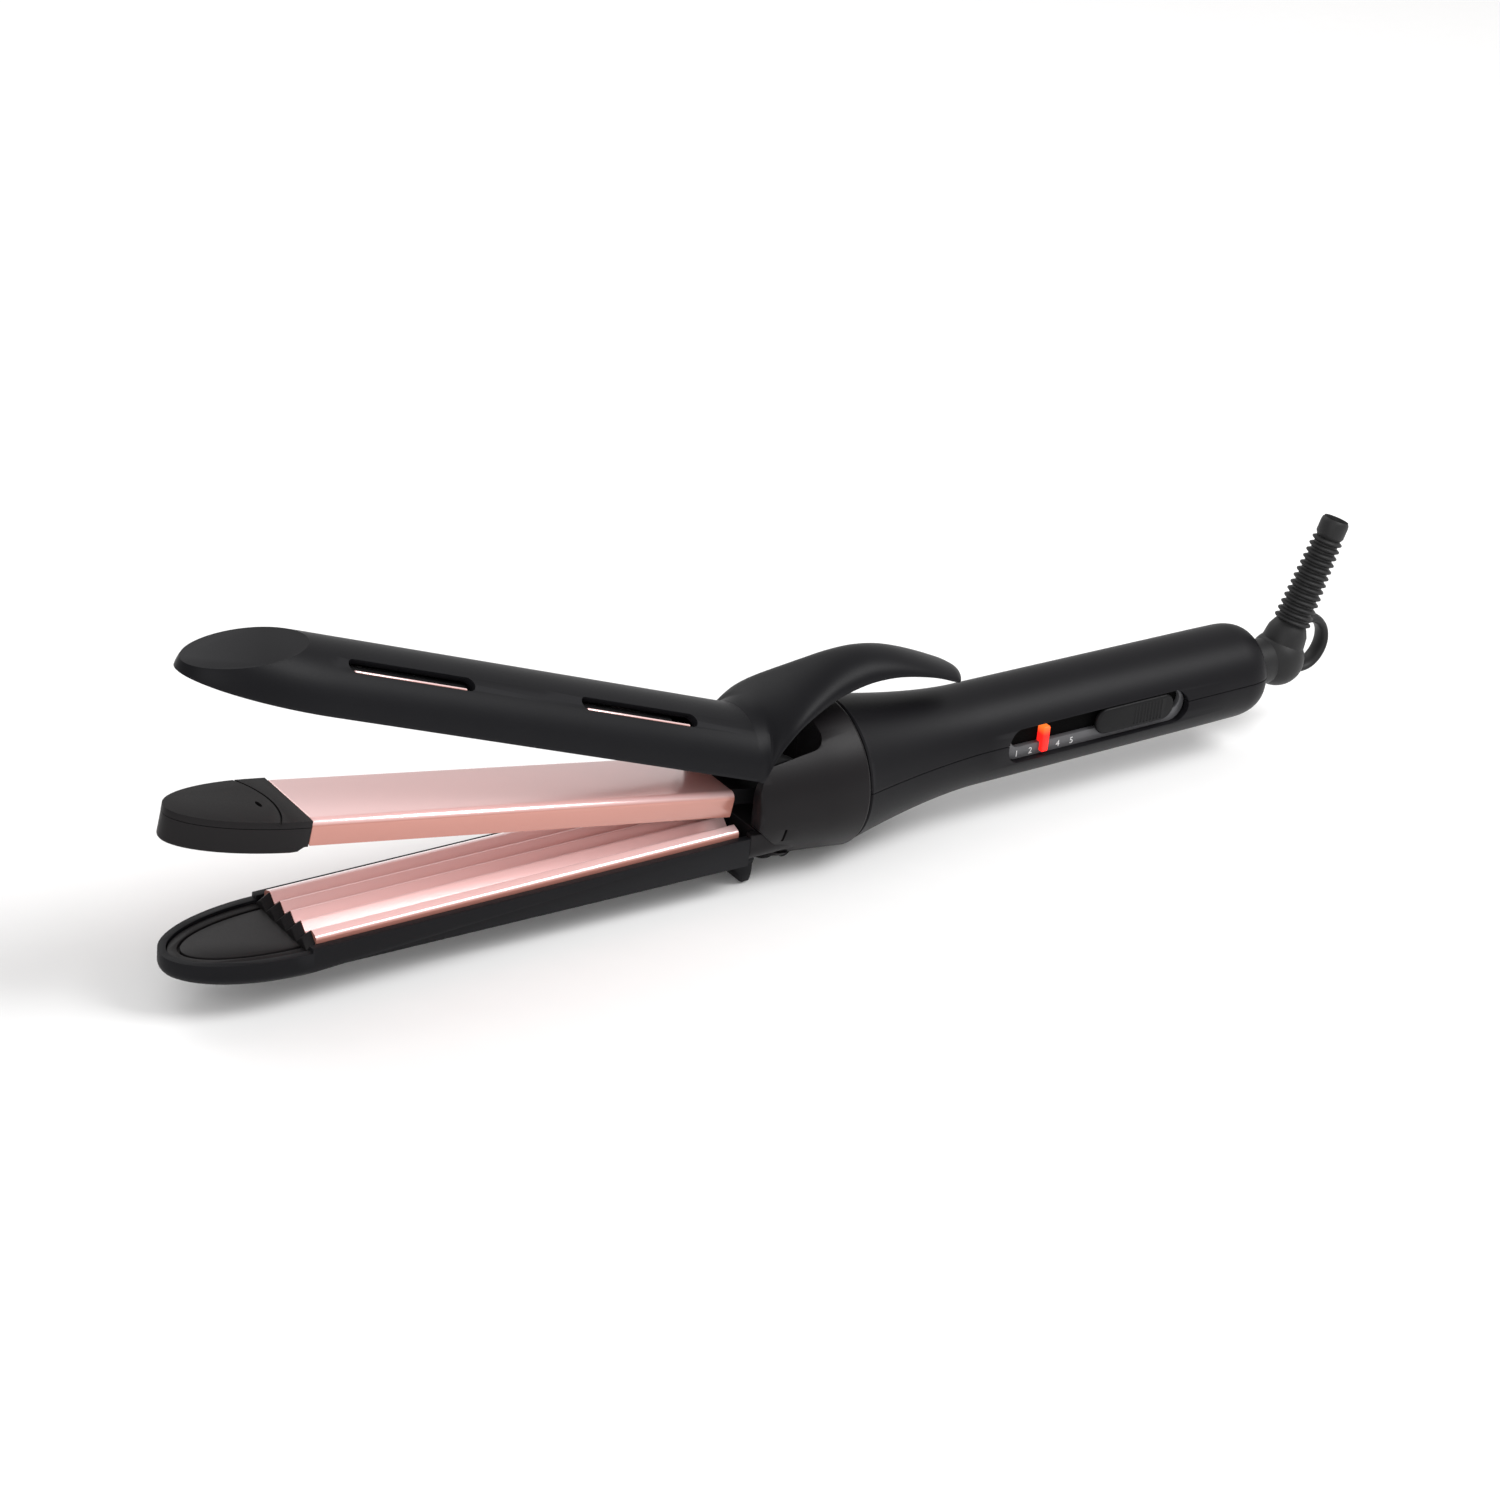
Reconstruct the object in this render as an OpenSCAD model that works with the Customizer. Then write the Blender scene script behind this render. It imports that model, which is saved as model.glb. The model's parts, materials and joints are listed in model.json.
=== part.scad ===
// Three-arm hair styler: a fixed lower arm with a ridged crimping plate, a hinged
// middle heating arm and a hinged upper arm with a thumb lever, on a round handle.
// The design frame has the hinge pin's centre at its zero, +X towards the cord and
// +Z up.  place() then moves the flat bottom of the rest foot to the part's origin.

/* [Handle] */
// Radius of the grip just behind the neck
grip_r = 13.3; // [12:0.1:16]
// Radius of the grip at the cord end
grip_end_r = 12.7; // [11:0.1:15]
// Distance from the hinge pin to the cord end of the handle
handle_len = 147.5; // [144:0.5:190]
// Length of the neck between the hinge housing and the grip
neck_len = 42; // [35:1:48]
// Length of the rounding at the cord end
end_round = 7; // [5:0.5:10]
// Wall of the handle shells
handle_wall = 2.2; // [1.6:0.1:2.6]
// Height of the parting line above the handle's axis
split_z = 1.5; // [0:0.5:3]

/* [Hinge housing] */
// Outside radius of the round housing at its rear
housing_r = 19.7; // [19.2:0.1:24]
// Outside radius of the housing at its open front
housing_front_r = 16.6; // [16.2:0.1:19]
// Distance from the pin to the housing's open front
housing_front = 20.5; // [19.5:0.5:23]
// Distance from the pin to the housing's rear face
housing_rear = 10.5; // [10:0.5:13]
// Half the width of the slot that the arms turn in
slot_half = 12.2; // [11.8:0.1:13]
// How far the housing's front edge slants back towards its bottom
front_slant = 6.9; // [0:0.1:8]
// Radius of the hinge pin
pin_r = 2; // [1.5:0.1:2.4]
// Radius of the arms' hinge ears
ear_r = 6; // [5:0.1:7]

/* [Arms] */
// Half the outside width of the lower and upper arm shells
arm_half = 14.8; // [14.4:0.1:17]
// Height of the lower arm's rim below the handle's axis
rim_drop = 4.4; // [4:0.1:5]
// Depth of the lower arm's shell
lower_depth = 8.5; // [8.2:0.1:12]
// Wall of the arm shells
arm_wall = 2; // [1.4:0.1:2.4]
// Distance from the pin to the lower arm's tip
lower_tip = 175.5; // [170:0.5:200]
// Distance from the pin to the middle arm's tip
middle_tip = 178.5; // [170:0.5:200]
// Distance from the pin to the upper arm's tip
upper_tip = 185.5; // [170:0.5:210]
// Length over which each arm's tip narrows
tip_len = 32; // [28:0.5:36]
// Height of the upper arm's shell
upper_height = 13; // [12:0.1:15]
// Angle between the lower and the middle arm when open
middle_open = 9.7; // [8:0.1:11]
// Angle between the middle and the upper arm when open
upper_open = 10.3; // [9:0.1:11]

/* [Plates] */
// Distance from the pin to the front edge of the crimping plate
plate_front = 142; // [120:0.5:143]
// Distance from the pin to the rear edge of the plates
plate_rear = 26; // [25.5:0.1:28]
// Half the width of the crimping plate
crimp_half = 12.4; // [11:0.1:12.6]
// Number of ridges across the crimping plate
ridges = 5; // [4:1:7]
// Height of the ridges from valley to peak
ridge_h = 2.2; // [1.6:0.1:2.6]
// Half the width of the middle arm's barrel
barrel_half = 11.5; // [10.8:0.1:12]
// Thickness of the middle arm's barrel
barrel_h = 6.5; // [6.2:0.1:7.2]
// Rounding of the barrel's upper edges
barrel_round = 2; // [1:0.1:2.2]
// Gap left between closed arms
close_gap = 0.4; // [0.3:0.05:0.6]

/* [Temperature slide] */
// Distance from the pin to the middle of the slide's window
window_x = 88.5; // [84:0.5:92]
// Height of the window's middle above the handle's axis
window_z = 0.4; // [0:0.1:1.5]
// Length of the window
window_len = 60; // [58:0.5:64]
// Height of the window
window_h = 9.5; // [9:0.1:10.5]
// Length of the thumb grip
knob_len = 26; // [22:0.5:26]
// Height of the thumb grip
knob_h = 6.8; // [6:0.1:7.6]
// Travel of the thumb grip from off to hottest
knob_travel = 12; // [8:1:12]

/* [Cord swivel] */
// Radius of the swivel's neck
swivel_r = 6.3; // [5.5:0.1:6.5]
// Distance from the handle's end to the elbow's centre
elbow_gap = 12.5; // [9:0.1:14]
// Radius of the elbow's ball
ball_r = 7.6; // [7.2:0.1:8]
// Angle between the boot and the handle's axis
boot_angle = 70; // [60:1:80]
// Length of the boot from the elbow's centre to its mouth
boot_len = 41; // [38:0.5:50]
// Radius of the cord's bore
cord_r = 3.3; // [2.8:0.1:3.4]
// Number of ribs on the boot
ribs = 13; // [8:1:16]
// Travel of the lock button
lock_travel = 5; // [3:0.5:5]

/* [Hidden] */
$fn = 64;
EPS = 0.01;
BIG = 400;

// Fits, shared by every pair that moves or seats
run = 0.05;        // radial running fit of pins and the swivel
seat = 0.1;        // play of seated pieces
side_gap = 0.4;    // sideways gap between neighbouring arms

// Levels of the arms above the handle's axis, all with the arms closed
rim_z = -rim_drop;
lower_bottom = rim_z - lower_depth;
ridge_peak = rim_z + 1.6;
ridge_valley = ridge_peak - ridge_h;
ridge_pitch = 2 * crimp_half / ridges;
barrel_top = rim_z + barrel_h;
upper_z = barrel_top + close_gap;
plate_t = 2;
crimp_under = ridge_valley - 2.5;
lower_floor = lower_bottom + arm_wall;
upper_open_total = middle_open + upper_open;

// Rest foot under the root of the lower arm
foot_z = lower_bottom - 7.7;
foot_rear = -housing_front + 2.9;
foot_flat = 2.8;
foot_half = 11;
foot_x = foot_rear - foot_flat / 2;

// Hinge ears along the pin: upper arm outside, middle arm inside, springs between
upper_ear_out = slot_half - side_gap;
upper_ear_in = upper_ear_out - 2.8;
middle_ear_out = upper_ear_in - side_gap;
middle_ear_in = middle_ear_out - 2.6;
pin_half = slot_half + 3.2;
spring_wire = 0.45;
spring_r = pin_r + spring_wire + 0.5;

// Lower arm's tongue inside the housing
tongue_rear = -4;
tongue_top = lower_bottom + 2.5;
tongue_half = slot_half - 3.2;
heater_front = -plate_front + 12;
heater_rear = -60;
lead_z = crimp_under - 0.95;
lead_r = 0.8;

// Handle
neck_r = housing_r - 0.4;
spigot_len = 5;
board_y = -1.8;
board_t = 1.6;
board_front = housing_rear + 44.5;
board_half = 8.5;
screw_r = 1.5;
head_r = 2.7;

// Temperature slide, on the -Y side of the handle
grip_face = grip_r - 1.1;
grip_t = 1.8;
plate_face = grip_face - grip_t - 0.3;
carriage_face = plate_face - 2.1;
window_x0 = window_x - window_len / 2;
window_x1 = window_x + window_len / 2;
knob_x1 = window_x1 - 4.5;
stem_x0 = knob_x1 - 11;
lens_x = window_x0 + 11.5;
lens_half = 1.5;
knob_top = window_z + window_h / 2 - 0.4;

// Swivel
elbow_x = handle_len + elbow_gap;
socket_len = 11;
socket_r = swivel_r + 2.2;
flange_x = handle_len - socket_len - 0.4;
flange_t = 2.7;
spindle_r = 4;
spindle_len = 11;
board_len = flange_x - flange_t - spindle_len - 2.5 - board_front;
ring_t = 3;
ring_r = spindle_r + 1.2;
loop_x = elbow_x + 7.5;
loop_z = 4;
loop_r = 7.4;
loop_t = 2;
loop_w = 5;
rib_start = 13;
rib_end = boot_len - 6;

// Cubic curve through two end points with two pulls, as n + 1 points
function curve(a, b, c, d, n) = [for (i = [0:n])
    let (t = i / n, u = 1 - t) u*u*u*a + 3*u*u*t*b + 3*u*t*t*c + t*t*t*d];
// Handle radius at x: a hollow neck curve, a slow taper and a rounded end
function neck_at(x) = grip_r + (neck_r - grip_r)
    * pow(max(0, 1 - (x - housing_rear) / neck_len), 1.6);
function taper_at(x) = x < housing_rear + neck_len ? neck_at(x)
    : grip_r + (grip_end_r - grip_r) * (x - housing_rear - neck_len)
        / (handle_len - housing_rear - neck_len);
function ridge_z(y) = ridge_valley + ridge_h
    * (1 - abs(2 * ((y + crimp_half) / ridge_pitch - floor((y + crimp_half) / ridge_pitch)) - 1));
// Plan of an arm: straight sides to x1, then an oval tip at -tip
function arm_plan(x1, half, tip, narrow) = concat(
    [[x1, -half], [x1, half]],
    [for (i = [0:16]) let (a = 90 * i / 16)
        [-(tip - narrow) - narrow * sin(a), half * cos(a)]],
    [for (i = [1:15]) let (a = 90 - 90 * i / 16)
        [-(tip - narrow) - narrow * sin(a), -half * cos(a)]],
    [[-(tip - narrow), -half]]);

module place() translate([-foot_x, 0, -foot_z]) children();
module middle_pose() place() rotate([0, middle_open, 0]) children();
module upper_pose() place() rotate([0, upper_open_total, 0]) children();
// 2D (y, z) drawn across the handle and drawn out from x0 to x1
module along_x(x0, x1) translate([x0, 0, 0]) rotate([90, 0, 90]) linear_extrude(x1 - x0) children();
// 2D (x, z) side view, drawn out from y0 to y1
module along_y(y0, y1) translate([0, y1, 0]) rotate([90, 0, 0]) linear_extrude(y1 - y0) children();
module rod_x(x0, x1, r) translate([x0, 0, 0]) rotate([0, 90, 0]) cylinder(h = x1 - x0, r = r);
module rod_y(y0, y1, r) translate([0, y1, 0]) rotate([90, 0, 0]) cylinder(h = y1 - y0, r = r);
module span(x0, x1, y0, y1, z0, z1) translate([x0, y0, z0]) cube([x1 - x0, y1 - y0, z1 - z0]);
module both_sides() {
    children();
    mirror([0, 1, 0]) children();
}
// Turned body about the handle's axis, from points [x, radius]
module turned(points) rotate([0, 90, 0]) rotate_extrude() rotate(90) mirror([0, 1]) polygon(points);

// ---- handle -------------------------------------------------------------------
function handle_profile(inset) = concat(
    [[housing_rear, 0]],
    [for (i = [0:12]) let (x = housing_rear + neck_len * i / 12) [x, taper_at(x) - inset]],
    [[handle_len - end_round, taper_at(handle_len - end_round) - inset]],
    [for (i = [1:8]) let (a = 90 * i / 8, r = taper_at(handle_len) - socket_r - 1)
        [handle_len - end_round + (end_round - inset) * sin(a),
         socket_r + 1 + r * cos(a) - inset]],
    [[handle_len - inset, 0]]);

module window_cut(grow) along_y(-grip_r - 4, -4)
    hull() {
        translate([window_x0 + window_h / 2, window_z]) circle(r = window_h / 2 + grow);
        translate([window_x1 - window_h / 2, window_z]) circle(r = window_h / 2 + grow);
    }
module board_rails(side)
    for (x = [board_front + 8, board_front + board_len / 2, board_front + board_len - 8])
        span(x - 1, x + 1, board_y - board_t - 1.2, board_y + 1.2,
             side > 0 ? board_half + seat : -grip_end_r + 1,
             side > 0 ? grip_end_r - 1 : -board_half - seat);
module handle_shell() difference() {
    turned(handle_profile(0));
    turned(concat([[housing_rear - 1, 0], [housing_rear - 1, neck_r - handle_wall]],
        [for (p = handle_profile(handle_wall)) if (p[1] > 0 && p[0] < handle_len - socket_len) p],
        [[handle_len - socket_len, taper_at(handle_len - socket_len) - handle_wall],
         [handle_len - socket_len, 0]]));
    rod_x(handle_len - socket_len - 6, handle_len + 1, socket_r + seat);
    window_cut(0);
}
module handle_posts(z0, z1, r)
    for (x = [housing_rear + 34, board_front + board_len - 5])
        translate([x, 7, z0]) cylinder(h = z1 - z0, r = r);
module handle_upper_shell() color([0.07, 0.07, 0.08]) place() {
    intersection() {
        handle_shell();
        span(0, BIG, -BIG, BIG, split_z, BIG);
    }
    board_rails(1);
    difference() {
        handle_posts(split_z, grip_r - 5, 2.6);
        handle_posts(split_z - 1, grip_r - 6.5, 1 + seat);
    }
}
module handle_lower_shell() color([0.07, 0.07, 0.08]) place() {
    difference() {
        union() {
            intersection() {
                handle_shell();
                span(0, BIG, -BIG, BIG, -BIG, split_z);
            }
            board_rails(-1);
            handle_posts(-grip_r + 4, split_z, 2.6);
        }
        handle_posts(-grip_r, split_z + 1, 1 + seat);
        handle_posts(-grip_r, -grip_r + 5, 2.1);
        lock_slot();
    }
}
module handle_screws() color("silver") place() {
    handle_posts(-grip_r + 5, grip_r - 7, 1);
    handle_posts(-grip_r + 3.4, -grip_r + 5, 2);
}

// ---- hinge housing --------------------------------------------------------------
housing_edge = 1.2;
function housing_at(x) = housing_front_r
    + (housing_r - housing_front_r) * (x + housing_front) / (housing_front + housing_rear);
// Where the slanted front edge lies at height z
function slant_at(z) = -housing_front + front_slant * max(0, -z) / housing_r;
top_corner = 7;
corner_z = sqrt(pow(housing_front_r, 2) - pow(slot_half, 2)) - top_corner + 3;
slot_rear = 0.5;
cavity_rear = housing_rear - 3.5;
cavity_top = 9;
module housing_body() difference() {
    union() {
        turned([[-housing_front, 0], [-housing_front, housing_front_r - housing_edge],
            [-housing_front + housing_edge, housing_at(-housing_front + housing_edge)],
            [housing_rear - 0.6, housing_at(housing_rear - 0.6)],
            [housing_rear, housing_r - 0.6], [housing_rear, 0]]);
        rod_x(housing_rear - EPS, housing_rear + spigot_len, neck_r - handle_wall - 1.6);
    }
    // room for the arms' roots, open to the front, and the slot above it
    span(-BIG, cavity_rear, -slot_half, slot_half, tongue_top + 0.6, cavity_top);
    span(-BIG, slot_rear, -slot_half, slot_half, 0, BIG);
    span(-BIG, tongue_rear + seat, -tongue_half - seat, tongue_half + seat, lower_bottom, 0);
    // slanted front edge below the pin
    along_y(-BIG, BIG) polygon([[-BIG, 0], [-housing_front, 0], [slant_at(-housing_r), -housing_r],
        [slant_at(-housing_r), -BIG], [-BIG, -BIG]]);
    // opening for the leads into the handle
    span(cavity_rear - 1, BIG, -9.5, 9.5, tongue_top, 6);
    // rounded upper front corners of the cheeks
    along_y(-BIG, BIG) difference() {
        translate([-housing_front - 1, corner_z]) square([top_corner + 1, BIG]);
        translate([-housing_front + top_corner, corner_z]) circle(r = top_corner);
    }
    rod_y(-pin_half - 0.2, pin_half + 0.2, pin_r + run);
    housing_screw_set(screw_r + seat, head_r + seat, 2);
    arm_screw_set(screw_r + seat, head_r + seat, 3);
}
screw_floor = (lower_bottom - housing_at(-6)) / 2;
module housing_screw_set(r, head, sink) {
    for (x = [-6, 5]) translate([x, 0, screw_floor]) {
        rod_y(-6.4, 6.5, r);
        rod_y(-6.4 - sink, -6.4, head > 2.3 ? 2.3 : head);
    }
}
module arm_screw_set(r, head, sink)
    for (y = [-5, 5]) translate([-housing_front + 9.5, y, 0]) {
        translate([0, 0, lower_bottom - 2.6]) cylinder(h = tongue_top - lower_bottom + 2.3, r = r);
        translate([0, 0, lower_bottom - 2.6 - sink]) cylinder(h = sink + EPS, r = head);
    }
module hinge_housing_left() color([0.1, 0.09, 0.1]) place() intersection() {
    housing_body();
    span(-BIG, BIG, -BIG, 0, -BIG, BIG);
}
module hinge_housing_right() color([0.1, 0.09, 0.1]) place() intersection() {
    housing_body();
    span(-BIG, BIG, 0, BIG, -BIG, BIG);
}
module hinge_pin() color("silver") place() rod_y(-pin_half, pin_half, pin_r);
module housing_screws() color("silver") place() housing_screw_set(screw_r, 2.2, 1.2);
module lower_arm_screws() color("silver") place() arm_screw_set(screw_r, head_r, 1.4);

// Coil of n turns along y from y0 to y1, with a straight leg at each end
spring_steps = 14;
spring_sides = 6;
module coil(y0, y1, turns, r, wire, leg) {
    n = turns * spring_steps;
    path = concat([[leg, y0, r]],
        [for (i = [0:n]) let (a = 360 * i / spring_steps)
            [r * sin(a), y0 + (y1 - y0) * i / n, r * cos(a)]],
        [[leg, y1, r]]);
    points = [for (i = [0:len(path) - 1]) let (
        d = path[min(i + 1, len(path) - 1)] - path[max(i - 1, 0)],
        t = d / norm(d),
        s = cross(t, [0, 1, 0]) / norm(cross(t, [0, 1, 0])),
        u = cross(s, t))
        for (k = [0:spring_sides - 1]) let (a = 360 * k / spring_sides)
            path[i] + wire * (cos(a) * s + sin(a) * u)];
    last = len(path) * spring_sides;
    faces = concat(
        [[for (k = [0:spring_sides - 1]) k]],
        [for (i = [0:len(path) - 2]) for (k = [0:spring_sides - 1])
            [i * spring_sides + k, (i + 1) * spring_sides + k,
             (i + 1) * spring_sides + (k + 1) % spring_sides, i * spring_sides + (k + 1) % spring_sides]],
        [[for (k = [spring_sides - 1:-1:0]) last - spring_sides + k]]);
    polyhedron(points, faces, convexity = 8);
}
module middle_arm_spring() color("silver") place()
    coil(-middle_ear_in + 1, -1, 4, spring_r, spring_wire, -spring_r - 1);
module upper_arm_spring() color("silver") middle_pose()
    coil(1, middle_ear_in - 1, 4, spring_r, spring_wire, -spring_r - 1);

// ---- lower arm ------------------------------------------------------------------
edge_r = 4.5;
recess_tip = lower_tip - arm_wall - 1;
recess_narrow = tip_len - 5;
nose_depth = barrel_h + 1.7;
tip_rim = barrel_top - nose_depth - close_gap;
insert_top = tip_rim - 0.6;
dish_depth = 0.8;
module tray_section(half, z0, z1, r) {
    translate([-half, z0 + r]) square([2 * half, z1 - z0 - r]);
    translate([-half + r, z0]) square([2 * half - 2 * r, r + EPS]);
    for (s = [-1, 1]) translate([s * (half - r), z0 + r]) circle(r = r);
}
// Side view of the lower arm with its underside rising to the tip
function lower_side() = concat(
    [[slant_at(rim_z) - 0.2, rim_z], [-plate_front - 0.8, rim_z], [-plate_front - 4, tip_rim],
     [-lower_tip - 1, tip_rim]],
    [for (i = [0:10]) let (a = 90 - 90 * i / 10)
        [-(lower_tip - tip_len) - (tip_len + 1) * sin(a),
         lower_bottom + 4.5 - 4.5 * cos(a)]],
    [[slant_at(lower_bottom) - 0.2, lower_bottom]]);
module lower_arm_shell() color([0.09, 0.09, 0.09]) place() {
    difference() {
        intersection() {
            translate([0, 0, lower_bottom])
                linear_extrude(lower_depth)
                    polygon(arm_plan(0, arm_half, lower_tip, tip_len));
            along_x(-lower_tip - 1, 0) tray_section(arm_half, lower_bottom, rim_z, edge_r);
            along_y(-BIG, BIG) polygon(lower_side());
        }
        translate([0, 0, lower_floor])
            linear_extrude(lower_depth)
                polygon(arm_plan(0, arm_half - arm_wall, recess_tip, recess_narrow));
    }
    // ledges that carry the crimping plate
    both_sides() span(-plate_front, -plate_rear, crimp_half - 1.2, arm_half - arm_wall + EPS,
                      lower_floor - EPS, crimp_under - seat);
    // tongue clamped in the housing
    difference() {
        span(-housing_front - 4, tongue_rear, -tongue_half, tongue_half, lower_bottom, tongue_top);
        arm_screw_set(screw_r + seat, head_r, 0);
    }
    // rest foot
    along_y(-foot_half, foot_half) polygon([
        [foot_rear - 8.3, lower_bottom + 1], [foot_rear - foot_flat, foot_z],
        [foot_rear, foot_z], [foot_rear, lower_bottom + 1]]);
}
module lower_tip_insert() color([0.13, 0.12, 0.12]) place() difference() {
    translate([0, 0, lower_floor + seat])
        linear_extrude(insert_top - lower_floor - seat)
            polygon(arm_plan(-plate_front - seat, arm_half - arm_wall - 0.3, recess_tip - 0.4, recess_narrow));
    // shallow dish in the insert's face
    translate([0, 0, insert_top - dish_depth])
        linear_extrude(2)
            polygon(arm_plan(-plate_front - 3, arm_half - arm_wall - 2.4, recess_tip - 3, recess_narrow - 3));
}
module crimp_section() polygon(concat(
    [[crimp_half, crimp_under], [-crimp_half, crimp_under]],
    [for (i = [0:2 * ridges]) let (y = -crimp_half + i * ridge_pitch / 2)
        [y, i % 2 == 0 ? ridge_valley : ridge_peak]]));
module crimp_plate() color([0.9, 0.7, 0.67]) place()
    along_x(-plate_front, -plate_rear + 2) crimp_section();
module lower_heater() color([0.85, 0.83, 0.78]) place()
    span(heater_front, heater_rear, -crimp_half + 2.2, crimp_half - 2.2, crimp_under - 1.8, crimp_under);
module lower_heater_clamp() color([0.75, 0.75, 0.72]) place()
    span(heater_front - 4, heater_rear + 2, -crimp_half + 2, crimp_half - 2,
         lower_floor, crimp_under - 1.8);
module lower_thermostat() color("dimgray") place()
    span(-50, -42, -4, 4, lower_floor, crimp_under - 2);
module lower_heater_leads() color("white") place()
    for (i = [0, 1]) translate([0, board_y + lead_r + 0.05 + 2.2 * i, lead_z])
        rod_x(heater_rear, board_front + 3, lead_r);

// ---- middle arm -----------------------------------------------------------------
pocket_top = barrel_top - 1.3;
pocket_bottom = ridge_peak + close_gap + 1.2;
pocket_half = barrel_half - 2;
module barrel_section() polygon(concat(
    [for (i = [0:6]) let (a = 90 * i / 6)
        [barrel_half - barrel_round + barrel_round * cos(a),
         barrel_top - barrel_round + barrel_round * sin(a)]],
    [for (i = [0:6]) let (a = 90 + 90 * i / 6)
        [-barrel_half + barrel_round + barrel_round * cos(a),
         barrel_top - barrel_round + barrel_round * sin(a)]],
    [[-barrel_half, ridge_z(-barrel_half) + close_gap]],
    [for (i = [1:2 * ridges - 1]) let (y = -crimp_half + i * ridge_pitch / 2)
        if (abs(y) < barrel_half) [y, ridge_z(y) + close_gap]],
    [[barrel_half, ridge_z(-barrel_half) + close_gap]]));
module middle_barrel() color([0.95, 0.76, 0.74]) middle_pose() difference() {
    along_x(-plate_front - 4, -plate_rear) barrel_section();
    span(-plate_front - 5, -plate_rear + 1, -pocket_half, pocket_half, pocket_bottom, pocket_top);
}
function nose_side() = concat(
    [[-plate_front - 4 - seat, barrel_top - 0.2], [-plate_front - 4 - seat, barrel_top - barrel_h]],
    [[-plate_front - 8, barrel_top - nose_depth]],
    [for (i = [0:8]) let (a = 90 * i / 8)
        [-(middle_tip - 22) - 23 * sin(a), barrel_top - nose_depth / 2 - nose_depth / 2 * cos(a)]],
    [for (i = [1:8]) let (a = 90 - 90 * i / 8)
        [-(middle_tip - 22) - 23 * sin(a), barrel_top - 0.2 - (nose_depth / 2 - 0.2) * (1 - cos(a))]]);
module middle_nose() color([0.1, 0.09, 0.09]) middle_pose() {
    difference() {
        intersection() {
            along_y(-BIG, BIG) polygon(nose_side());
            translate([0, 0, -BIG / 2]) linear_extrude(BIG)
                polygon(arm_plan(-plate_front - 4 - seat, barrel_half, middle_tip, tip_len - 2));
        }
        // groove round the cap, and a small vent behind it
        along_y(-BIG, BIG) translate([-plate_front - 12, barrel_top - 0.8]) square([0.5, 2]);
        span(-plate_front - 11, -plate_front - 8.5, 1.4, 2.6, barrel_top - 2, BIG);
    }
    span(-plate_front - 5, -plate_front + 4, -pocket_half + seat, pocket_half - seat,
         pocket_bottom + seat, pocket_top - seat);
}
root_top = barrel_top - 0.3;
root_bottom = ridge_peak + close_gap;
module middle_arm_root() color([0.12, 0.12, 0.12]) middle_pose() difference() {
    union() {
        span(-plate_rear - 16, -plate_rear + 1, -pocket_half + seat, pocket_half - seat,
             pocket_bottom + seat, pocket_top - seat);
        span(-plate_rear + seat, -spring_r - 3.5, -middle_ear_out, middle_ear_out, root_bottom, root_top);
        both_sides() {
            rod_y(middle_ear_in, middle_ear_out, ear_r - 0.5);
            span(-spring_r - 4, 0, middle_ear_in, middle_ear_out, root_bottom, root_top);
        }
    }
    rod_y(-BIG, BIG, pin_r + run);
    span(-plate_rear - 17, -spring_r - 3, -4.2, 4.2, pocket_bottom + 0.4, pocket_top - 0.4);
}
module middle_heater() color([0.85, 0.83, 0.78]) middle_pose()
    span(heater_front, heater_rear, -pocket_half + 0.6, pocket_half - 0.6,
         pocket_top - 1.3, pocket_top);
module middle_heater_clip() color([0.75, 0.75, 0.72]) middle_pose()
    span(heater_front - 2, heater_rear, -pocket_half + 0.4, pocket_half - 0.4,
         pocket_bottom, pocket_top - 1.3);
fuse_r = (pocket_top - pocket_bottom) / 2 - 0.3;
module thermal_fuse() color("white") middle_pose()
    translate([0, 0, (pocket_top + pocket_bottom) / 2]) rod_x(heater_rear + 4, heater_rear + 12, fuse_r);
module middle_heater_leads() color("white") middle_pose()
    for (y = [-3, 3]) translate([0, y, (pocket_top + pocket_bottom) / 2])
        rod_x(heater_rear, -spring_r - 4, 0.5);

// ---- upper arm ------------------------------------------------------------------
narrow_x = -housing_front - 2.6;
lever_root = narrow_x + seat;
under_cut = 6.4;
lever_tip = [38.5, 34];
function arch(half, height, z0) = concat([for (i = [0:24]) let (a = 180 * i / 24)
    [half * cos(a), z0 + height * sin(a)]]);
// Share of the full width or height at a distance d from the tip, on a rounded curve
function tip_share(d, len, power) = d >= len ? 1
    : pow(1 - pow(1 - d / len, power), 1 / power);
// Outer body of the upper arm: arched sections from the tip to the hinge end
arch_steps = 24;
upper_stations = concat([for (i = [1:14]) (tip_len + 2) * pow(i / 14, 2)], [upper_tip + narrow_x]);
module upper_body() {
    n = arch_steps + 1;
    last = len(upper_stations) - 1;
    points = [for (d = upper_stations) let (
        w = arm_half * tip_share(d, tip_len + 2, 2), h = upper_height * tip_share(d, tip_len - 4, 2.3))
        for (k = [0:arch_steps]) let (a = 180 * k / arch_steps)
            [-upper_tip + d, w * cos(a), upper_z + h * sin(a)]];
    faces = concat(
        [[for (k = [arch_steps:-1:0]) k]],
        [for (i = [0:last - 1]) for (k = [0:arch_steps - 1]) each [
            [i * n + k, i * n + k + 1, (i + 1) * n + k + 1],
            [i * n + k, (i + 1) * n + k + 1, (i + 1) * n + k]]],
        [for (i = [0:last - 1]) each [
            [i * n + arch_steps, i * n, (i + 1) * n],
            [i * n + arch_steps, (i + 1) * n, (i + 1) * n + arch_steps]]],
        [[for (k = [0:arch_steps]) last * n + k]]);
    polyhedron(points, faces, convexity = 6);
}
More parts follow.
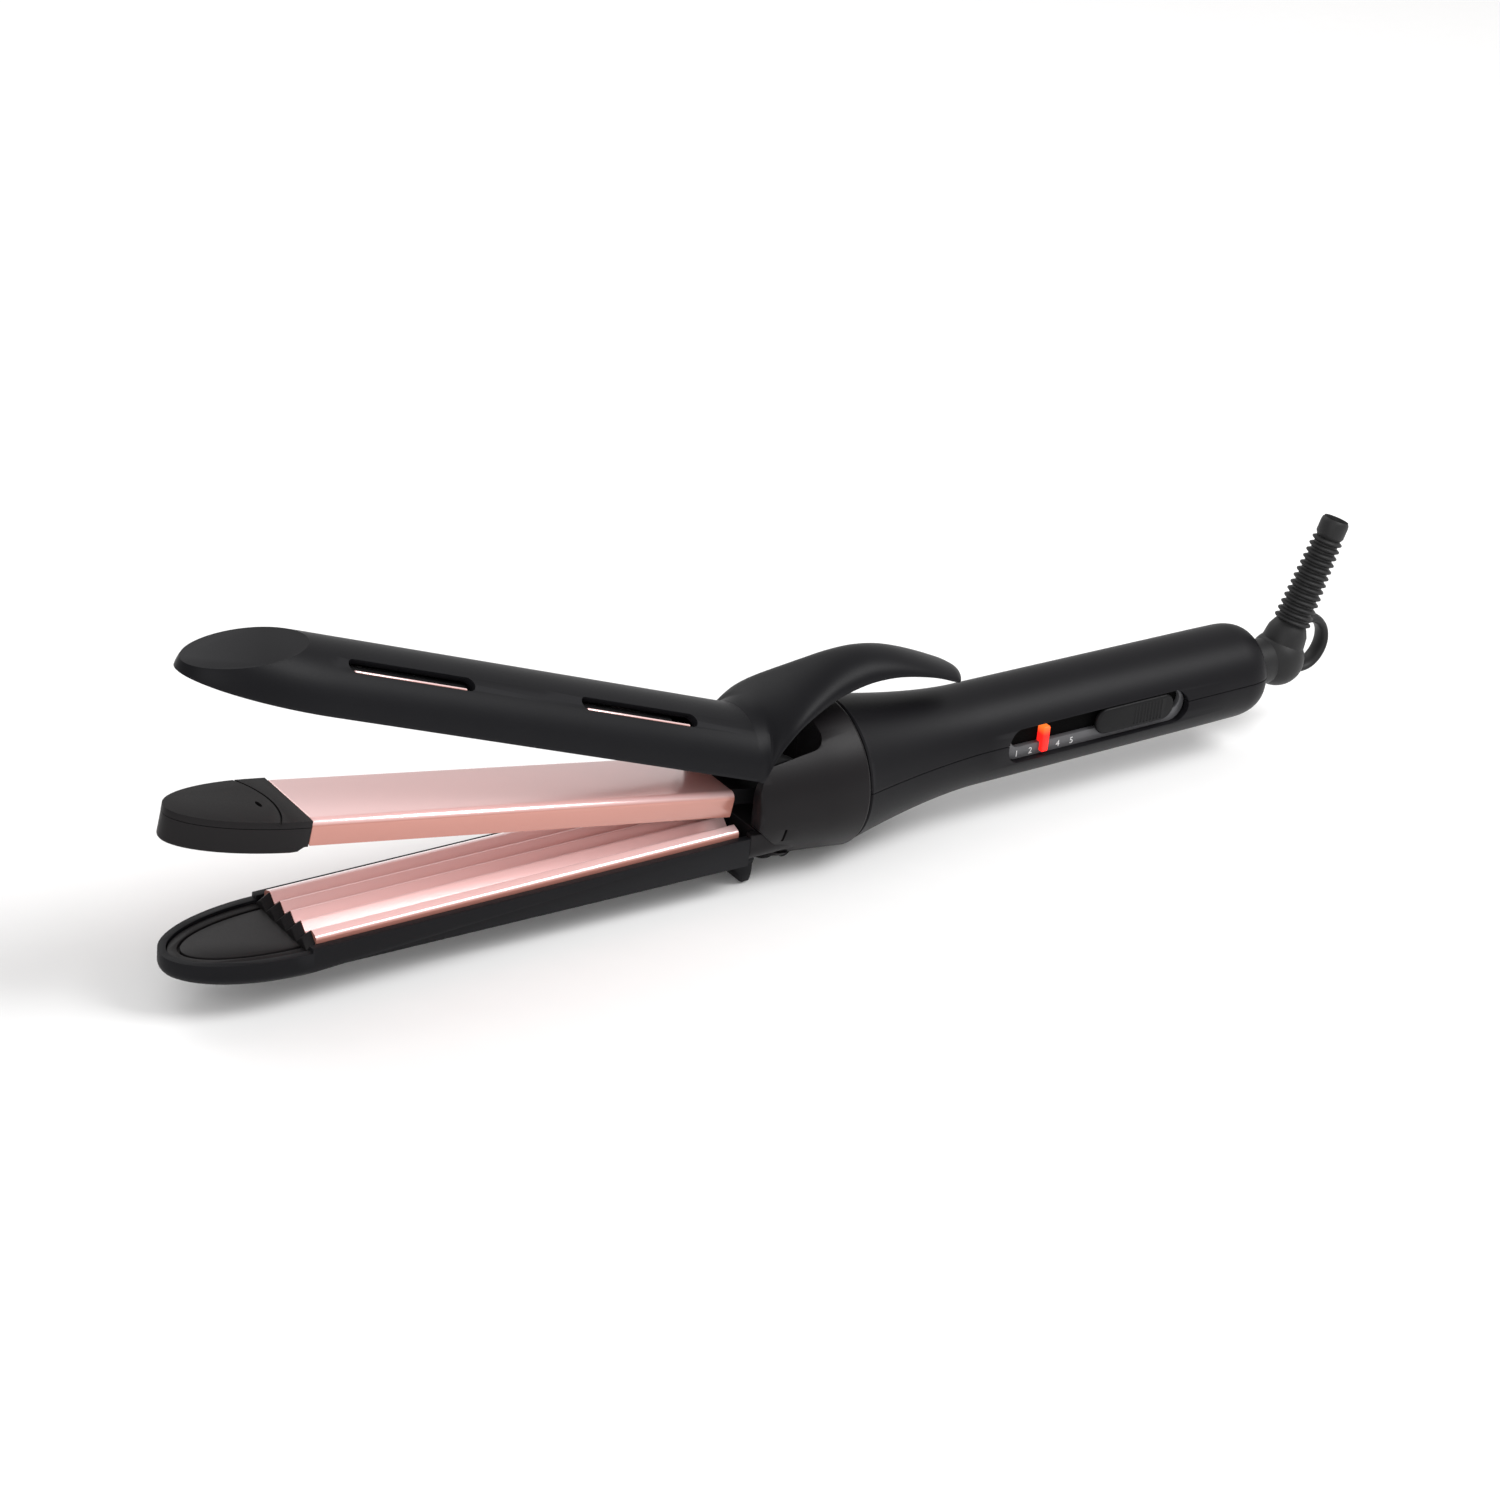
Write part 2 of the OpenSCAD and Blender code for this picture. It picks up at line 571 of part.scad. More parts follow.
function lever_side() = concat(
    [[lever_root, upper_z + under_cut - seat - 1]],
    curve([lever_root, upper_z + upper_height - 0.5], [-12, 22], [9, 46.5], lever_tip, 20),
    curve([lever_tip[0] - 2.3, lever_tip[1] - 1], [0, 37], [-10, 22],
          [-housing_front + 6.8, upper_z + under_cut - seat - 1], 20));
function lever_plan() = concat(
    curve([lever_root, upper_ear_out], [-4, upper_ear_out], [0, 8], [33, 6], 14),
    [for (i = [1:7]) let (a = 90 - 180 * i / 8) [33 + 6 * cos(a), 6 * sin(a)]],
    curve([33, -6], [0, -8], [-4, -upper_ear_out], [lever_root, -upper_ear_out], 14));
slot_len = 34;
slot_y = 8.8;
module upper_arm_shell() color([0.08, 0.08, 0.09]) upper_pose() difference() {
    upper_body();
    along_x(-plate_front - 9, 0)
        polygon(concat([[arm_half - arm_wall, upper_z - 1]],
            arch(arm_half - arm_wall, upper_height - arm_wall, upper_z),
            [[-arm_half + arm_wall, upper_z - 1]]));
    // long vents beside the crest
    for (x = [-147.5, -79.5]) both_sides()
        span(x, x + slot_len, slot_y - 1.4, slot_y + 1.4, upper_z + 3, BIG);
}
frame_t = 2.4;
frame_front = -plate_rear - 20;
module upper_arm_frame() color([0.11, 0.11, 0.11]) upper_pose() difference() {
    union() {
        span(frame_front, narrow_x + 1, -upper_ear_in - 0.6, upper_ear_in + 0.6,
             upper_z + plate_t + 0.3, upper_z + plate_t + 0.3 + frame_t);
        span(lever_root, -housing_front + 6, -upper_ear_out, upper_ear_out,
             upper_z + 2.3, upper_z + under_cut - seat);
        // thumb lever
        intersection() {
            along_y(-BIG, BIG) polygon(lever_side());
            translate([0, 0, -BIG / 2]) linear_extrude(BIG) polygon(lever_plan());
        }
        both_sides() {
            rod_y(upper_ear_in, upper_ear_out, ear_r);
            along_y(upper_ear_in, upper_ear_out) polygon([
                [lever_root, upper_z + 0.2], [lever_root, upper_z + under_cut - seat],
                [-housing_front + 6, upper_z + under_cut - seat], [-2, ear_r - 0.4], [0, 0],
                [-ear_r * 0.42, -ear_r * 0.9]]);
        }
    }
    rod_y(-BIG, BIG, pin_r + run);
    plate_screw_set(1.25 + seat, 0);
}
module plate_screw_set(r, head)
    for (x = [frame_front + 5, -plate_rear - 4]) translate([x, 0, upper_z + 0.8]) {
        cylinder(h = plate_t + frame_t - 0.5, r = r);
        if (head > 0)
            translate([0, 0, plate_t + frame_t - 0.5]) cylinder(h = 1.2, r = head);
    }
module upper_plate() color([0.95, 0.76, 0.74]) upper_pose() difference() {
    span(-plate_front - 8, -plate_rear - 1, -arm_half + arm_wall + 1,
         arm_half - arm_wall - 1, upper_z, upper_z + plate_t);
    plate_screw_set(1.25 + seat, 0);
}
module upper_heat_shield() color([0.9, 0.68, 0.64]) upper_pose() intersection() {
    along_x(-plate_front - 7, frame_front - 4) difference() {
        polygon(arch(arm_half - 0.2 - arm_wall, upper_height - arm_wall - 0.2, upper_z));
        polygon(arch(arm_half - 0.8 - arm_wall, upper_height - arm_wall - 0.8, upper_z - EPS));
    }
    span(-BIG, BIG, -BIG, BIG, upper_z + plate_t + 0.2, upper_z + upper_height - 3.6);
}
module upper_plate_screws() color("silver") upper_pose() plate_screw_set(1.25, 2.2);

// ---- controls -------------------------------------------------------------------
module control_board() color("darkgreen") place()
    span(board_front, board_front + board_len, board_y - board_t, board_y, -board_half, board_half);
module temperature_switch() color([0.2, 0.2, 0.22]) place()
    span(stem_x0 - knob_travel - 4, knob_x1 + 3, -carriage_face + 2, board_y - board_t,
         window_z - 3, window_z + 3);
module indicator_led() color("orangered") place() translate([lens_x, 0, window_z]) {
    rod_y(-plate_face + 2.6, board_y - board_t, 1.4);
    translate([0, -plate_face + 2.6, 0]) sphere(r = 1.4);
}
module indicator_lens() color([1, 0.35, 0.2]) place()
    span(lens_x - lens_half, lens_x + lens_half, -grip_face + 0.2, -plate_face + 1,
         window_z - window_h / 2 + 0.9, window_z + window_h / 2 - 0.9);
module scale_plate() color([0.55, 0.55, 0.56]) place() difference() {
    along_y(-plate_face, -plate_face + 1) difference() {
        hull() {
            translate([window_x0 + window_h / 2, window_z]) circle(r = window_h / 2 - seat);
            translate([window_x1 - window_h / 2, window_z]) circle(r = window_h / 2 - seat);
        }
        hull() {
            translate([stem_x0 - knob_travel, window_z]) circle(r = window_h / 2 - 1);
            translate([window_x1 - window_h / 2, window_z]) circle(r = window_h / 2 - 1);
        }
    }
    span(lens_x - lens_half - seat, lens_x + lens_half + seat, -BIG, 0,
         window_z - window_h / 2 + 0.9 - seat, window_z + window_h / 2 - 0.9 + seat);
}
module slider_knob() color([0.05, 0.05, 0.05]) place() {
    difference() {
        span(knob_x1 - knob_len, knob_x1, -grip_face, -grip_face + grip_t,
             knob_top - knob_h, knob_top);
        // finger grooves
        for (i = [1:9]) translate([knob_x1 - knob_len * i / 10, 0, 0])
            span(-0.4, 0.4, -BIG, -grip_face + 0.6, -BIG, BIG);
    }
    span(stem_x0, knob_x1 - 1, -grip_face + grip_t - EPS, -carriage_face, window_z - 3, window_z + 3);
}
module slider_carriage() color([0.8, 0.8, 0.78]) place()
    span(stem_x0 - 2, knob_x1, -carriage_face, -carriage_face + 1.8, window_z - 4.5, window_z + 4.5);

// ---- lock -----------------------------------------------------------------------
lock_x = housing_rear + 18.7;
lock_len = 5;
lock_half = 1.8;
lock_face = neck_at(lock_x + lock_len) + 1;
module lock_slot() span(lock_x - lock_travel - 0.5, lock_x + lock_len + 0.5, -lock_half - 0.4, lock_half + 0.4,
                        -BIG, -neck_at(lock_x + lock_len) + handle_wall + 1.6);
module lock_button() color([0.05, 0.05, 0.05]) place() difference() {
    span(lock_x, lock_x + lock_len, -lock_half, lock_half, -lock_face, -lock_bar_z);
    for (i = [1:4]) translate([lock_x + lock_len * i / 5, 0, 0])
        span(-0.3, 0.3, -BIG, BIG, -BIG, -lock_face + 0.5);
}
lock_bar_z = neck_at(lock_x + lock_len + lock_travel) - handle_wall - 0.9;
module lock_bar() color([0.8, 0.8, 0.78]) place()
    span(lock_x - 5, lock_x + lock_len + 1.5, -lock_half - 0.8, lock_half + 0.8,
         -lock_bar_z, -lock_bar_z + 1.2);

// ---- cord swivel ----------------------------------------------------------------
module swivel_socket() color([0.15, 0.15, 0.15]) place() difference() {
    rod_x(handle_len - socket_len, handle_len, socket_r);
    rod_x(handle_len - socket_len - 1, handle_len + 1, swivel_r + run);
}
module swivel_hub() color([0.12, 0.12, 0.12]) place() {
    rod_x(flange_x, handle_len + 0.4, swivel_r);
    rod_x(flange_x - flange_t, flange_x + EPS, socket_r - 0.4);
    rod_x(flange_x - flange_t - spindle_len, flange_x, spindle_r);
    rod_x(handle_len, elbow_x - 4, spindle_r - 1);
}
module ring_at(i) translate([flange_x - flange_t - spindle_len + 1 + i * 5, 0, 0]) children();
module slip_rings() color("goldenrod") place() for (i = [0, 1]) ring_at(i) difference() {
    rod_x(0, ring_t, ring_r);
    rod_x(-1, ring_t + 1, spindle_r);
}
module contact_brushes() color("peru") place() for (i = [0, 1]) ring_at(i) {
    span(0.3, ring_t - 0.3, ring_r + 0.1, ring_r + 3.6, -1, 1);
    span(0, ring_t, ring_r + 1.6, ring_r + 3.6, -2.5, 2.5);
}
module brush_leads() color("firebrick") place() for (s = [-1, 1])
    translate([0, 0, 1.6 * s]) {
        lead_x = board_front + board_len - 1.5;
        translate([0, ring_r + 2.6, 0]) rod_x(lead_x, flange_x - flange_t - spindle_len + 1, 0.6);
        translate([lead_x, 0, 0]) rod_y(board_y, ring_r + 2.6, 0.6);
    }
// Half outline of the boot from its root to its mouth, as [distance, radius]
function rib_outline() = [for (i = [0:ribs - 1]) let (
    p = (rib_end - rib_start) / ribs, s = rib_start + i * p, r = 5.1 - 0.5 * i / ribs)
    each [[s, 4.2], [s + 0.25 * p, r], [s + 0.6 * p, r], [s + 0.75 * p, 4.2]]];
module along_boot() translate([elbow_x, 0, 0]) rotate([0, 90 - boot_angle, 0]) children();
module cord_boot() color([0.06, 0.06, 0.06]) place() difference() {
    union() {
        translate([elbow_x, 0, 0]) sphere(r = ball_r);
        rod_x(handle_len + 0.4, elbow_x, swivel_r);
        along_boot() rotate_extrude() polygon(concat(
            [[0, 0], [6.2, 0], [5.4, rib_start - 2], [4.2, rib_start]],
            [for (p = rib_outline()) [p[1], p[0]]],
            [[4.2, rib_end], [4.2, boot_len - 0.8], [3.8, boot_len], [0, boot_len]]));
        // hanging loop
        translate([loop_x, 0, loop_z]) rod_y(-loop_w / 2, loop_w / 2, loop_r);
    }
    difference() {
        translate([loop_x, 0, loop_z]) rod_y(-loop_w, loop_w, loop_r - loop_t);
        translate([elbow_x, 0, 0]) sphere(r = ball_r);
        along_boot() cylinder(h = boot_len / 2, r = 5.4);
    }
    // the cord's bore, and the seat for the hub's spigot
    along_boot() translate([0, 0, 3.5]) cylinder(h = boot_len, r = cord_r);
    rod_x(handle_len, elbow_x - 4, spindle_r - 1 + run);
}

handle_upper_shell();
handle_lower_shell();
hinge_housing_left();
hinge_housing_right();
hinge_pin();
housing_screws();
handle_screws();
lower_arm_screws();
lower_arm_shell();
lower_tip_insert();
crimp_plate();
lower_heater();
lower_heater_clamp();
lower_thermostat();
lower_heater_leads();
control_board();
temperature_switch();
indicator_led();
indicator_lens();
scale_plate();
contact_brushes();
brush_leads();
swivel_socket();
middle_arm_spring();
middle_barrel();
middle_nose();
middle_arm_root();
middle_heater();
middle_heater_clip();
thermal_fuse();
middle_heater_leads();
upper_arm_spring();
upper_arm_shell();
upper_arm_frame();
upper_plate();
upper_heat_shield();
upper_plate_screws();
slider_knob();
slider_carriage();
lock_button();
lock_bar();
swivel_hub();
slip_rings();
cord_boot();
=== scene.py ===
"""Looks of a three-arm hair styler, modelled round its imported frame.

Every piece is modelled in millimetres in the maker's frame: the hinge pin's centre is zero, +X
runs to the cord, +Z is up and the arms are closed. Piece.settle() then turns it to its arm's place
at rest.
"""
import json
import logging
import math
from collections.abc import Callable, Iterable
from dataclasses import dataclass
from enum import Enum

import bmesh
import bpy
from mathutils import Matrix, Vector


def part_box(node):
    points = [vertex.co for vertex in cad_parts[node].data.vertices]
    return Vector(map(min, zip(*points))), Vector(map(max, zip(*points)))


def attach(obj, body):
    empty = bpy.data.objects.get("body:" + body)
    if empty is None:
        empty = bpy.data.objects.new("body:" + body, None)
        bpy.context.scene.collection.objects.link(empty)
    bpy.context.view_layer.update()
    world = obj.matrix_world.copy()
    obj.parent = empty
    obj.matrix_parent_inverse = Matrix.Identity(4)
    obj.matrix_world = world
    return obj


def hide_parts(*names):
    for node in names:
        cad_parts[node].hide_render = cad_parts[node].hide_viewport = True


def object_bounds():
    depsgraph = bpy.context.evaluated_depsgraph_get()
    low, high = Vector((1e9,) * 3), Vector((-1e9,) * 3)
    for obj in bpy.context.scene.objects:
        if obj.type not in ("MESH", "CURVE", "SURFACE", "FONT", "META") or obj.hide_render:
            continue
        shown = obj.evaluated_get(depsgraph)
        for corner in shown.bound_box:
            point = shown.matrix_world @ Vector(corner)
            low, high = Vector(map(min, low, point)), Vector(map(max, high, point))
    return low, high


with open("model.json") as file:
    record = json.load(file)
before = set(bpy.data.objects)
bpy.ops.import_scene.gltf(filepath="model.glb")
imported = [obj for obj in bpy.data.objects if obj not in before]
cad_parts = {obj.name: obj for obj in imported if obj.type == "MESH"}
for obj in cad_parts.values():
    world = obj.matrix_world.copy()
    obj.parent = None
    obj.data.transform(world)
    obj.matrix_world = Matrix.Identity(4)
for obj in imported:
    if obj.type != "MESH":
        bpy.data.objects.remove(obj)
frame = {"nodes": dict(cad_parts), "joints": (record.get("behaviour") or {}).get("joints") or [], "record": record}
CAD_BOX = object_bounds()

logging.basicConfig(level=logging.INFO, format="%(message)s")
LOG = logging.getLogger("styler")
MM = 0.001
# how far a cutter reaches past what it cuts, in millimetres
FAR = 30.0
Place = tuple[float, float, float]


class Body(Enum):
    """The bodies that pieces ride on."""

    HANDLE = "handle"
    MIDDLE = "middle_arm"
    UPPER = "upper_arm"
    SLIDE = "temperature_slider"
    LOCK = "lock"
    SWIVEL = "cord_swivel"


@dataclass(frozen=True)
class Box:
    """Lowest and highest corner of a node, in millimetres."""

    lo: Vector
    hi: Vector

    @property
    def mid(self) -> Vector:
        """Centre of the box."""
        return (self.lo + self.hi) / 2


class Gauge:
    """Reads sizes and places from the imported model, in the maker's frame with the arms closed."""

    def __init__(self) -> None:
        """Finds the hinge pin and how far each arm stands open at rest."""
        low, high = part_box("hinge_pin")
        self.pin: Vector = (low + high) / 2
        opening = {j["name"]: -math.radians(min(j.get("range_deg", [0]))) for j in frame["joints"]}
        middle = opening["middle_arm_hinge"]
        upper = middle + opening["upper_arm_hinge"]
        self.turns: dict[Body, float] = {Body.MIDDLE: middle, Body.UPPER: upper}

    def pose(self, body: Body) -> Matrix:
        """The matrix from the maker's frame to a body's place at rest.

        Args:
            body: The body whose rest place is wanted.

        Returns:
            A matrix that scales millimetres to metres, opens the arm and moves it to the pin.
        """
        turn = Matrix.Rotation(self.turns.get(body, 0.0), 4, "Y")
        return Matrix.Translation(self.pin) @ turn @ Matrix.Scale(MM, 4)

    def box(self, node: str, body: Body = Body.HANDLE) -> Box:
        """A node's box in the maker's frame.

        Args:
            node: Name of the CAD node.
            body: The body that it rides on.

        Returns:
            The node's box with its arm closed.
        """
        back = self.pose(body).inverted()
        points = [back @ vertex.co for vertex in frame["nodes"][node].data.vertices]
        low = Vector([min(p[i] for p in points) for i in range(3)])
        high = Vector([max(p[i] for p in points) for i in range(3)])
        return Box(low, high)


@dataclass(frozen=True)
class Station:
    """One section of a lofted body: its place along X, half width, lowest and highest Z."""

    x: float
    half: float
    low: float
    high: float

    @property
    def values(self) -> tuple[float, float, float]:
        """The section without its place."""
        return self.half, self.low, self.high


def round_station(x: float, radius: float) -> Station:
    """A round section about the handle's axis.

    Args:
        x: Place along the axis.
        radius: Radius of the section.

    Returns:
        The section.
    """
    return Station(x, radius, -radius, radius)


def quarter(steps: int, first: int = 0) -> list[tuple[float, float]]:
    """Even steps of a quarter turn.

    Args:
        steps: How many steps the quarter has.
        first: The step to start from.

    Returns:
        The sine and the cosine at each step, up to the last.
    """
    turns = [math.pi / 2 * i / steps for i in range(first, steps + 1)]
    return [(math.sin(turn), math.cos(turn)) for turn in turns]


def between(rows: tuple[Place, ...], x: float) -> tuple[float, ...]:
    """Reads a smooth curve through a table.

    Args:
        rows: Rows of places along X and the values there, in order.
        x: The place to read at.

    Returns:
        The values there, held at the table's ends outside it.
    """
    last = len(rows) - 1
    i = next((n for n in range(last) if rows[n + 1][0] >= x), last - 1)
    t = min(1.0, max(0.0, (x - rows[i][0]) / (rows[i + 1][0] - rows[i][0])))
    step = rows[i + 1][0] - rows[i][0]
    values = []
    for k in range(1, len(rows[0])):
        slopes = []
        for n in (i, i + 1):
            a, b = rows[max(0, n - 1)], rows[min(last, n + 1)]
            slopes.append((b[k] - a[k]) / (b[0] - a[0]) * step)
        a, b = rows[i][k], rows[i + 1][k]
        values.append(a + slopes[0] * t + (3 * (b - a) - 2 * slopes[0] - slopes[1]) * t**2
                      + (2 * (a - b) + slopes[0] + slopes[1]) * t**3)
    return tuple(values)


def tip_share(distance: float, length: float, power: float) -> float:
    """Share of the full width or height near a rounded tip.

    Args:
        distance: Distance from the tip.
        length: Length over which the tip narrows.
        power: 2 for an ellipse, more for a blunter tip.

    Returns:
        A share from 0 at the tip to 1 past the length.
    """
    if distance >= length:
        return 1.0
    return (1 - (1 - distance / length) ** power) ** (1 / power)


class Piece:
    """One mesh on the bench: a primitive that is shaped in edit mode."""

    def __init__(self, name: str) -> None:
        """Takes the primitive that was just added, applies its place and opens it for editing."""
        self.obj = bpy.context.active_object
        self.obj.name = self.obj.data.name = name
        bpy.ops.object.transform_apply(location=True, rotation=True, scale=True)
        self.at = Station(0, 1, -1, 1)
        self.edit()

    # -- starts ---------------------------------------------------------------
    @staticmethod
    def clear() -> None:
        """Leaves edit mode and deselects everything."""
        if bpy.context.object and bpy.context.object.mode != "OBJECT":
            bpy.ops.object.mode_set(mode="OBJECT")
        bpy.ops.object.select_all(action="DESELECT")

    @classmethod
    def ring(cls, name: str, at: Station, count: int = 64, closed: bool = True) -> "Piece":
        """Starts a loft from a round or oval ring across X.

        Args:
            name: Name of the piece.
            at: The first section.
            count: Number of points round the ring.
            closed: Whether a face closes the ring.

        Returns:
            The open piece, with the ring selected.
        """
        cls.clear()
        centre = (at.x, 0, (at.low + at.high) / 2)
        bpy.ops.mesh.primitive_circle_add(
            vertices=count, radius=1, location=centre, rotation=(0, math.pi / 2, 0)
        )
        bpy.context.active_object.scale = ((at.high - at.low) / 2, at.half, 1)
        piece = cls(name)
        piece.at = at
        if closed:
            piece.cap()
            piece.pick_all()
        return piece

    @classmethod
    def arch(cls, name: str, at: Station, count: int = 96) -> "Piece":
        """Starts a loft from a half-round face across X: flat below, oval above.

        Args:
            name: Name of the piece.
            at: The first section.
            count: Number of points in the whole round.

        Returns:
            The open piece, with the face selected.
        """
        cls.clear()
        bpy.ops.mesh.primitive_circle_add(
            vertices=count, radius=1, location=(at.x, 0, at.low), rotation=(0, math.pi / 2, 0)
        )
        bpy.context.active_object.scale = (at.high - at.low, at.half, 1)
        piece = cls(name)
        piece.pick_verts(lambda p: p.z < at.low - 0.0001 * (at.high - at.low))
        bpy.ops.mesh.delete(type="VERT")
        bpy.ops.mesh.select_all(action="SELECT")
        piece.cap()
        piece.at = at
        return piece

    @classmethod
    def block(cls, name: str, lo: Place, hi: Place) -> "Piece":
        """Starts from a rectangular block between two corners.

        Args:
            name: Name of the piece.
            lo: Its lowest corner.
            hi: Its highest corner.

        Returns:
            The open piece.
        """
        cls.clear()
        centre = [(a + b) / 2 for a, b in zip(lo, hi)]
        bpy.ops.mesh.primitive_cube_add(size=1, location=centre)
        bpy.context.active_object.scale = [b - a for a, b in zip(lo, hi)]
        return cls(name)

    @classmethod
    def rod(
        cls, name: str, centre: Place, radius: float, length: float, axis: str, count: int = 48
    ) -> "Piece":
        """Starts from a round rod.

        Args:
            name: Name of the piece.
            centre: Its centre.
            radius: Its radius.
            length: Its length.
            axis: X, Y or Z, the way that it points.
            count: Number of sides.

        Returns:
            The open piece.
        """
        cls.clear()
        turn = {"X": (0, math.pi / 2, 0), "Y": (math.pi / 2, 0, 0), "Z": (0, 0, 0)}[axis]
        bpy.ops.mesh.primitive_cylinder_add(
            vertices=count, radius=radius, depth=length, location=centre, rotation=turn
        )
        return cls(name)

    @classmethod
    def pill(cls, name: str, lo: Place, hi: Place) -> "Piece":
        """A flat bar between two corners, with half-round ends as seen along Y.

        Args:
            name: Name of the piece.
            lo: Its lowest corner.
            hi: Its highest corner.

        Returns:
            The open piece.
        """
        centre = tuple((a + b) / 2 for a, b in zip(lo, hi))
        radius = (hi[2] - lo[2]) / 2
        piece = cls.rod(name, centre, radius, hi[1] - lo[1], "Y")
        reach = (hi[0] - lo[0]) / 2 - radius
        for side in (-1, 1):
            piece.pick_verts(lambda p: (p.x - centre[0]) * side > 0.001)
            piece.move((side * reach, 0, 0))
        return piece

    @classmethod
    def oval_plan(cls, name: str, tip: "TipPlan", top: float, count: int = 64) -> "Piece":
        """A flat face in the plan of an arm: straight sides and an oval tip.

        Args:
            name: Name of the piece.
            tip: The plan's sizes.
            top: Height of the face.
            count: Number of points in the whole oval.

        Returns:
            The open piece, with the face selected.
        """
        cls.clear()
        bpy.ops.mesh.primitive_circle_add(vertices=count, radius=1, location=(tip.shoulder, 0, top))
        bpy.context.active_object.scale = (tip.narrow, tip.half, 1)
        piece = cls(name)
        piece.pick_verts(lambda p: p.x > tip.shoulder + 0.001)
        bpy.ops.mesh.delete(type="VERT")
        piece.pick_verts(lambda p: abs(p.y) > tip.half - 0.001)
        bpy.ops.mesh.extrude_region()
        bpy.ops.transform.translate(value=(tip.rear - tip.shoulder, 0, 0))
        bpy.ops.mesh.select_all(action="SELECT")
        bpy.ops.mesh.edge_face_add()
        return piece

    # -- selecting --------------------------------------------------------------
    def grab(self) -> "Piece":
        """Leaves edit mode and makes the piece the only one selected."""
        self.clear()
        self.obj.select_set(True)
        bpy.context.view_layer.objects.active = self.obj
        return self

    def edit(self) -> "Piece":
        """Opens the piece for editing."""
        if bpy.context.object is not self.obj or self.obj.mode != "EDIT":
            self.grab()
            bpy.ops.object.mode_set(mode="EDIT")
        return self

    def _pick(self, kind: str, chosen: Callable[[bmesh.types.BMesh], Iterable]) -> "Piece":
        """Selects parts of the mesh.

        Args:
            kind: VERT, EDGE or FACE.
            chosen: Returns the parts to select.

        Returns:
            The piece.
        """
        self.edit()
        bpy.ops.mesh.select_mode(type=kind)
        bpy.ops.mesh.select_all(action="DESELECT")
        mesh = bmesh.from_edit_mesh(self.obj.data)
        for part in chosen(mesh):
            part.select_set(True)
        mesh.select_flush_mode()
        bmesh.update_edit_mesh(self.obj.data)
        return self

    def pick_verts(self, test: Callable[[Vector], bool]) -> "Piece":
        """Selects the points whose place passes the test."""
        return self._pick("VERT", lambda mesh: [v for v in mesh.verts if test(v.co)])

    def pick_all(self) -> "Piece":
        """Selects every point."""
        return self.pick_verts(lambda p: True)

    def pick_edges(self, test: Callable[[Vector, Vector], bool]) -> "Piece":
        """Selects the edges whose two ends pass the test."""
        return self._pick(
            "EDGE", lambda mesh: [e for e in mesh.edges if test(*(v.co for v in e.verts))]
        )

    def pick_faces(self, test: Callable[[Vector, Vector], bool]) -> "Piece":
        """Selects the faces whose centre and normal pass the test."""
        return self._pick(
            "FACE", lambda mesh: [f for f in mesh.faces if test(f.calc_center_median(), f.normal)]
        )

    # -- shaping ------------------------------------------------------------------
    def loft(self, stations: Iterable[Station]) -> "Piece":
        """Extrudes the selected ring from section to section.

        Args:
            stations: The sections in order.

        Returns:
            The piece, with the last ring selected.
        """
        for new in stations:
            old = self.at
            bpy.ops.mesh.extrude_region()
            bpy.ops.transform.translate(value=(new.x - old.x, 0, new.low - old.low))
            bpy.ops.transform.resize(
                value=(1, new.half / old.half, (new.high - new.low) / (old.high - old.low)),
                center_override=(new.x, 0, new.low),
            )
            self.at = new
        return self

    def cap(self) -> "Piece":
        """Closes the selected ring with a face."""
        bpy.ops.mesh.edge_face_add()
        return self

    def extrude(self, way: Place) -> "Piece":
        """Extrudes the selected faces by a vector."""
        bpy.ops.mesh.extrude_region_move(TRANSFORM_OT_translate={"value": way})
        return self

    def move(self, way: Place) -> "Piece":
        """Moves what is selected by a vector."""
        bpy.ops.transform.translate(value=way)
        return self

    def resize(self, share: Place, centre: Place) -> "Piece":
        """Resizes what is selected about a centre."""
        bpy.ops.transform.resize(value=share, center_override=centre)
        return self

    def bevel(self, width: float, steps: int) -> "Piece":
        """Rounds the selected edges."""
        bpy.ops.mesh.bevel(offset=width, segments=steps, affect="EDGES", clamp_overlap=True)
        return self

    def slice(self, point: Place, normal: Place, clear: bool = False) -> "Piece":
        """Cuts the whole piece along a plane.

        Args:
            point: A point on the plane.
            normal: The plane's normal.
            clear: Whether what lies past the plane goes, with the cut closed.

        Returns:
            The piece.
        """
        self.edit()
        bpy.ops.mesh.select_all(action="SELECT")
        bpy.ops.mesh.bisect(plane_co=point, plane_no=normal, clear_outer=clear, use_fill=clear)
        return self

    def slices(self, places: Iterable[float]) -> "Piece":
        """Adds edges round the piece across X at each of the places."""
        for x in places:
            self.slice((x, 0, 0), (1, 0, 0))
        return self

    def outward(self) -> "Piece":
        """Merges doubles and turns all faces outwards."""
        self.edit()
        bpy.ops.mesh.select_all(action="SELECT")
        bpy.ops.mesh.remove_doubles(threshold=0.002)
        bpy.ops.mesh.normals_make_consistent(inside=False)
        return self

    # -- finishing ------------------------------------------------------------------
    def place(self, pose: Matrix) -> "Piece":
        """Moves the piece's mesh by a matrix."""
        self.grab()
        self.obj.matrix_world = pose
        bpy.ops.object.transform_apply(location=True, rotation=True, scale=True)
        return self

    def modifier(self, kind: str, **settings: object) -> "Piece":
        """Adds a modifier and applies it.

        Args:
            kind: Blender's name for the kind of modifier.
            settings: Its settings.

        Returns:
            The piece.
        """
        self.grab()
        added = self.obj.modifiers.new(kind.lower(), kind)
        for key, value in settings.items():
            setattr(added, key, value)
        bpy.ops.object.modifier_apply(modifier=added.name)
        return self

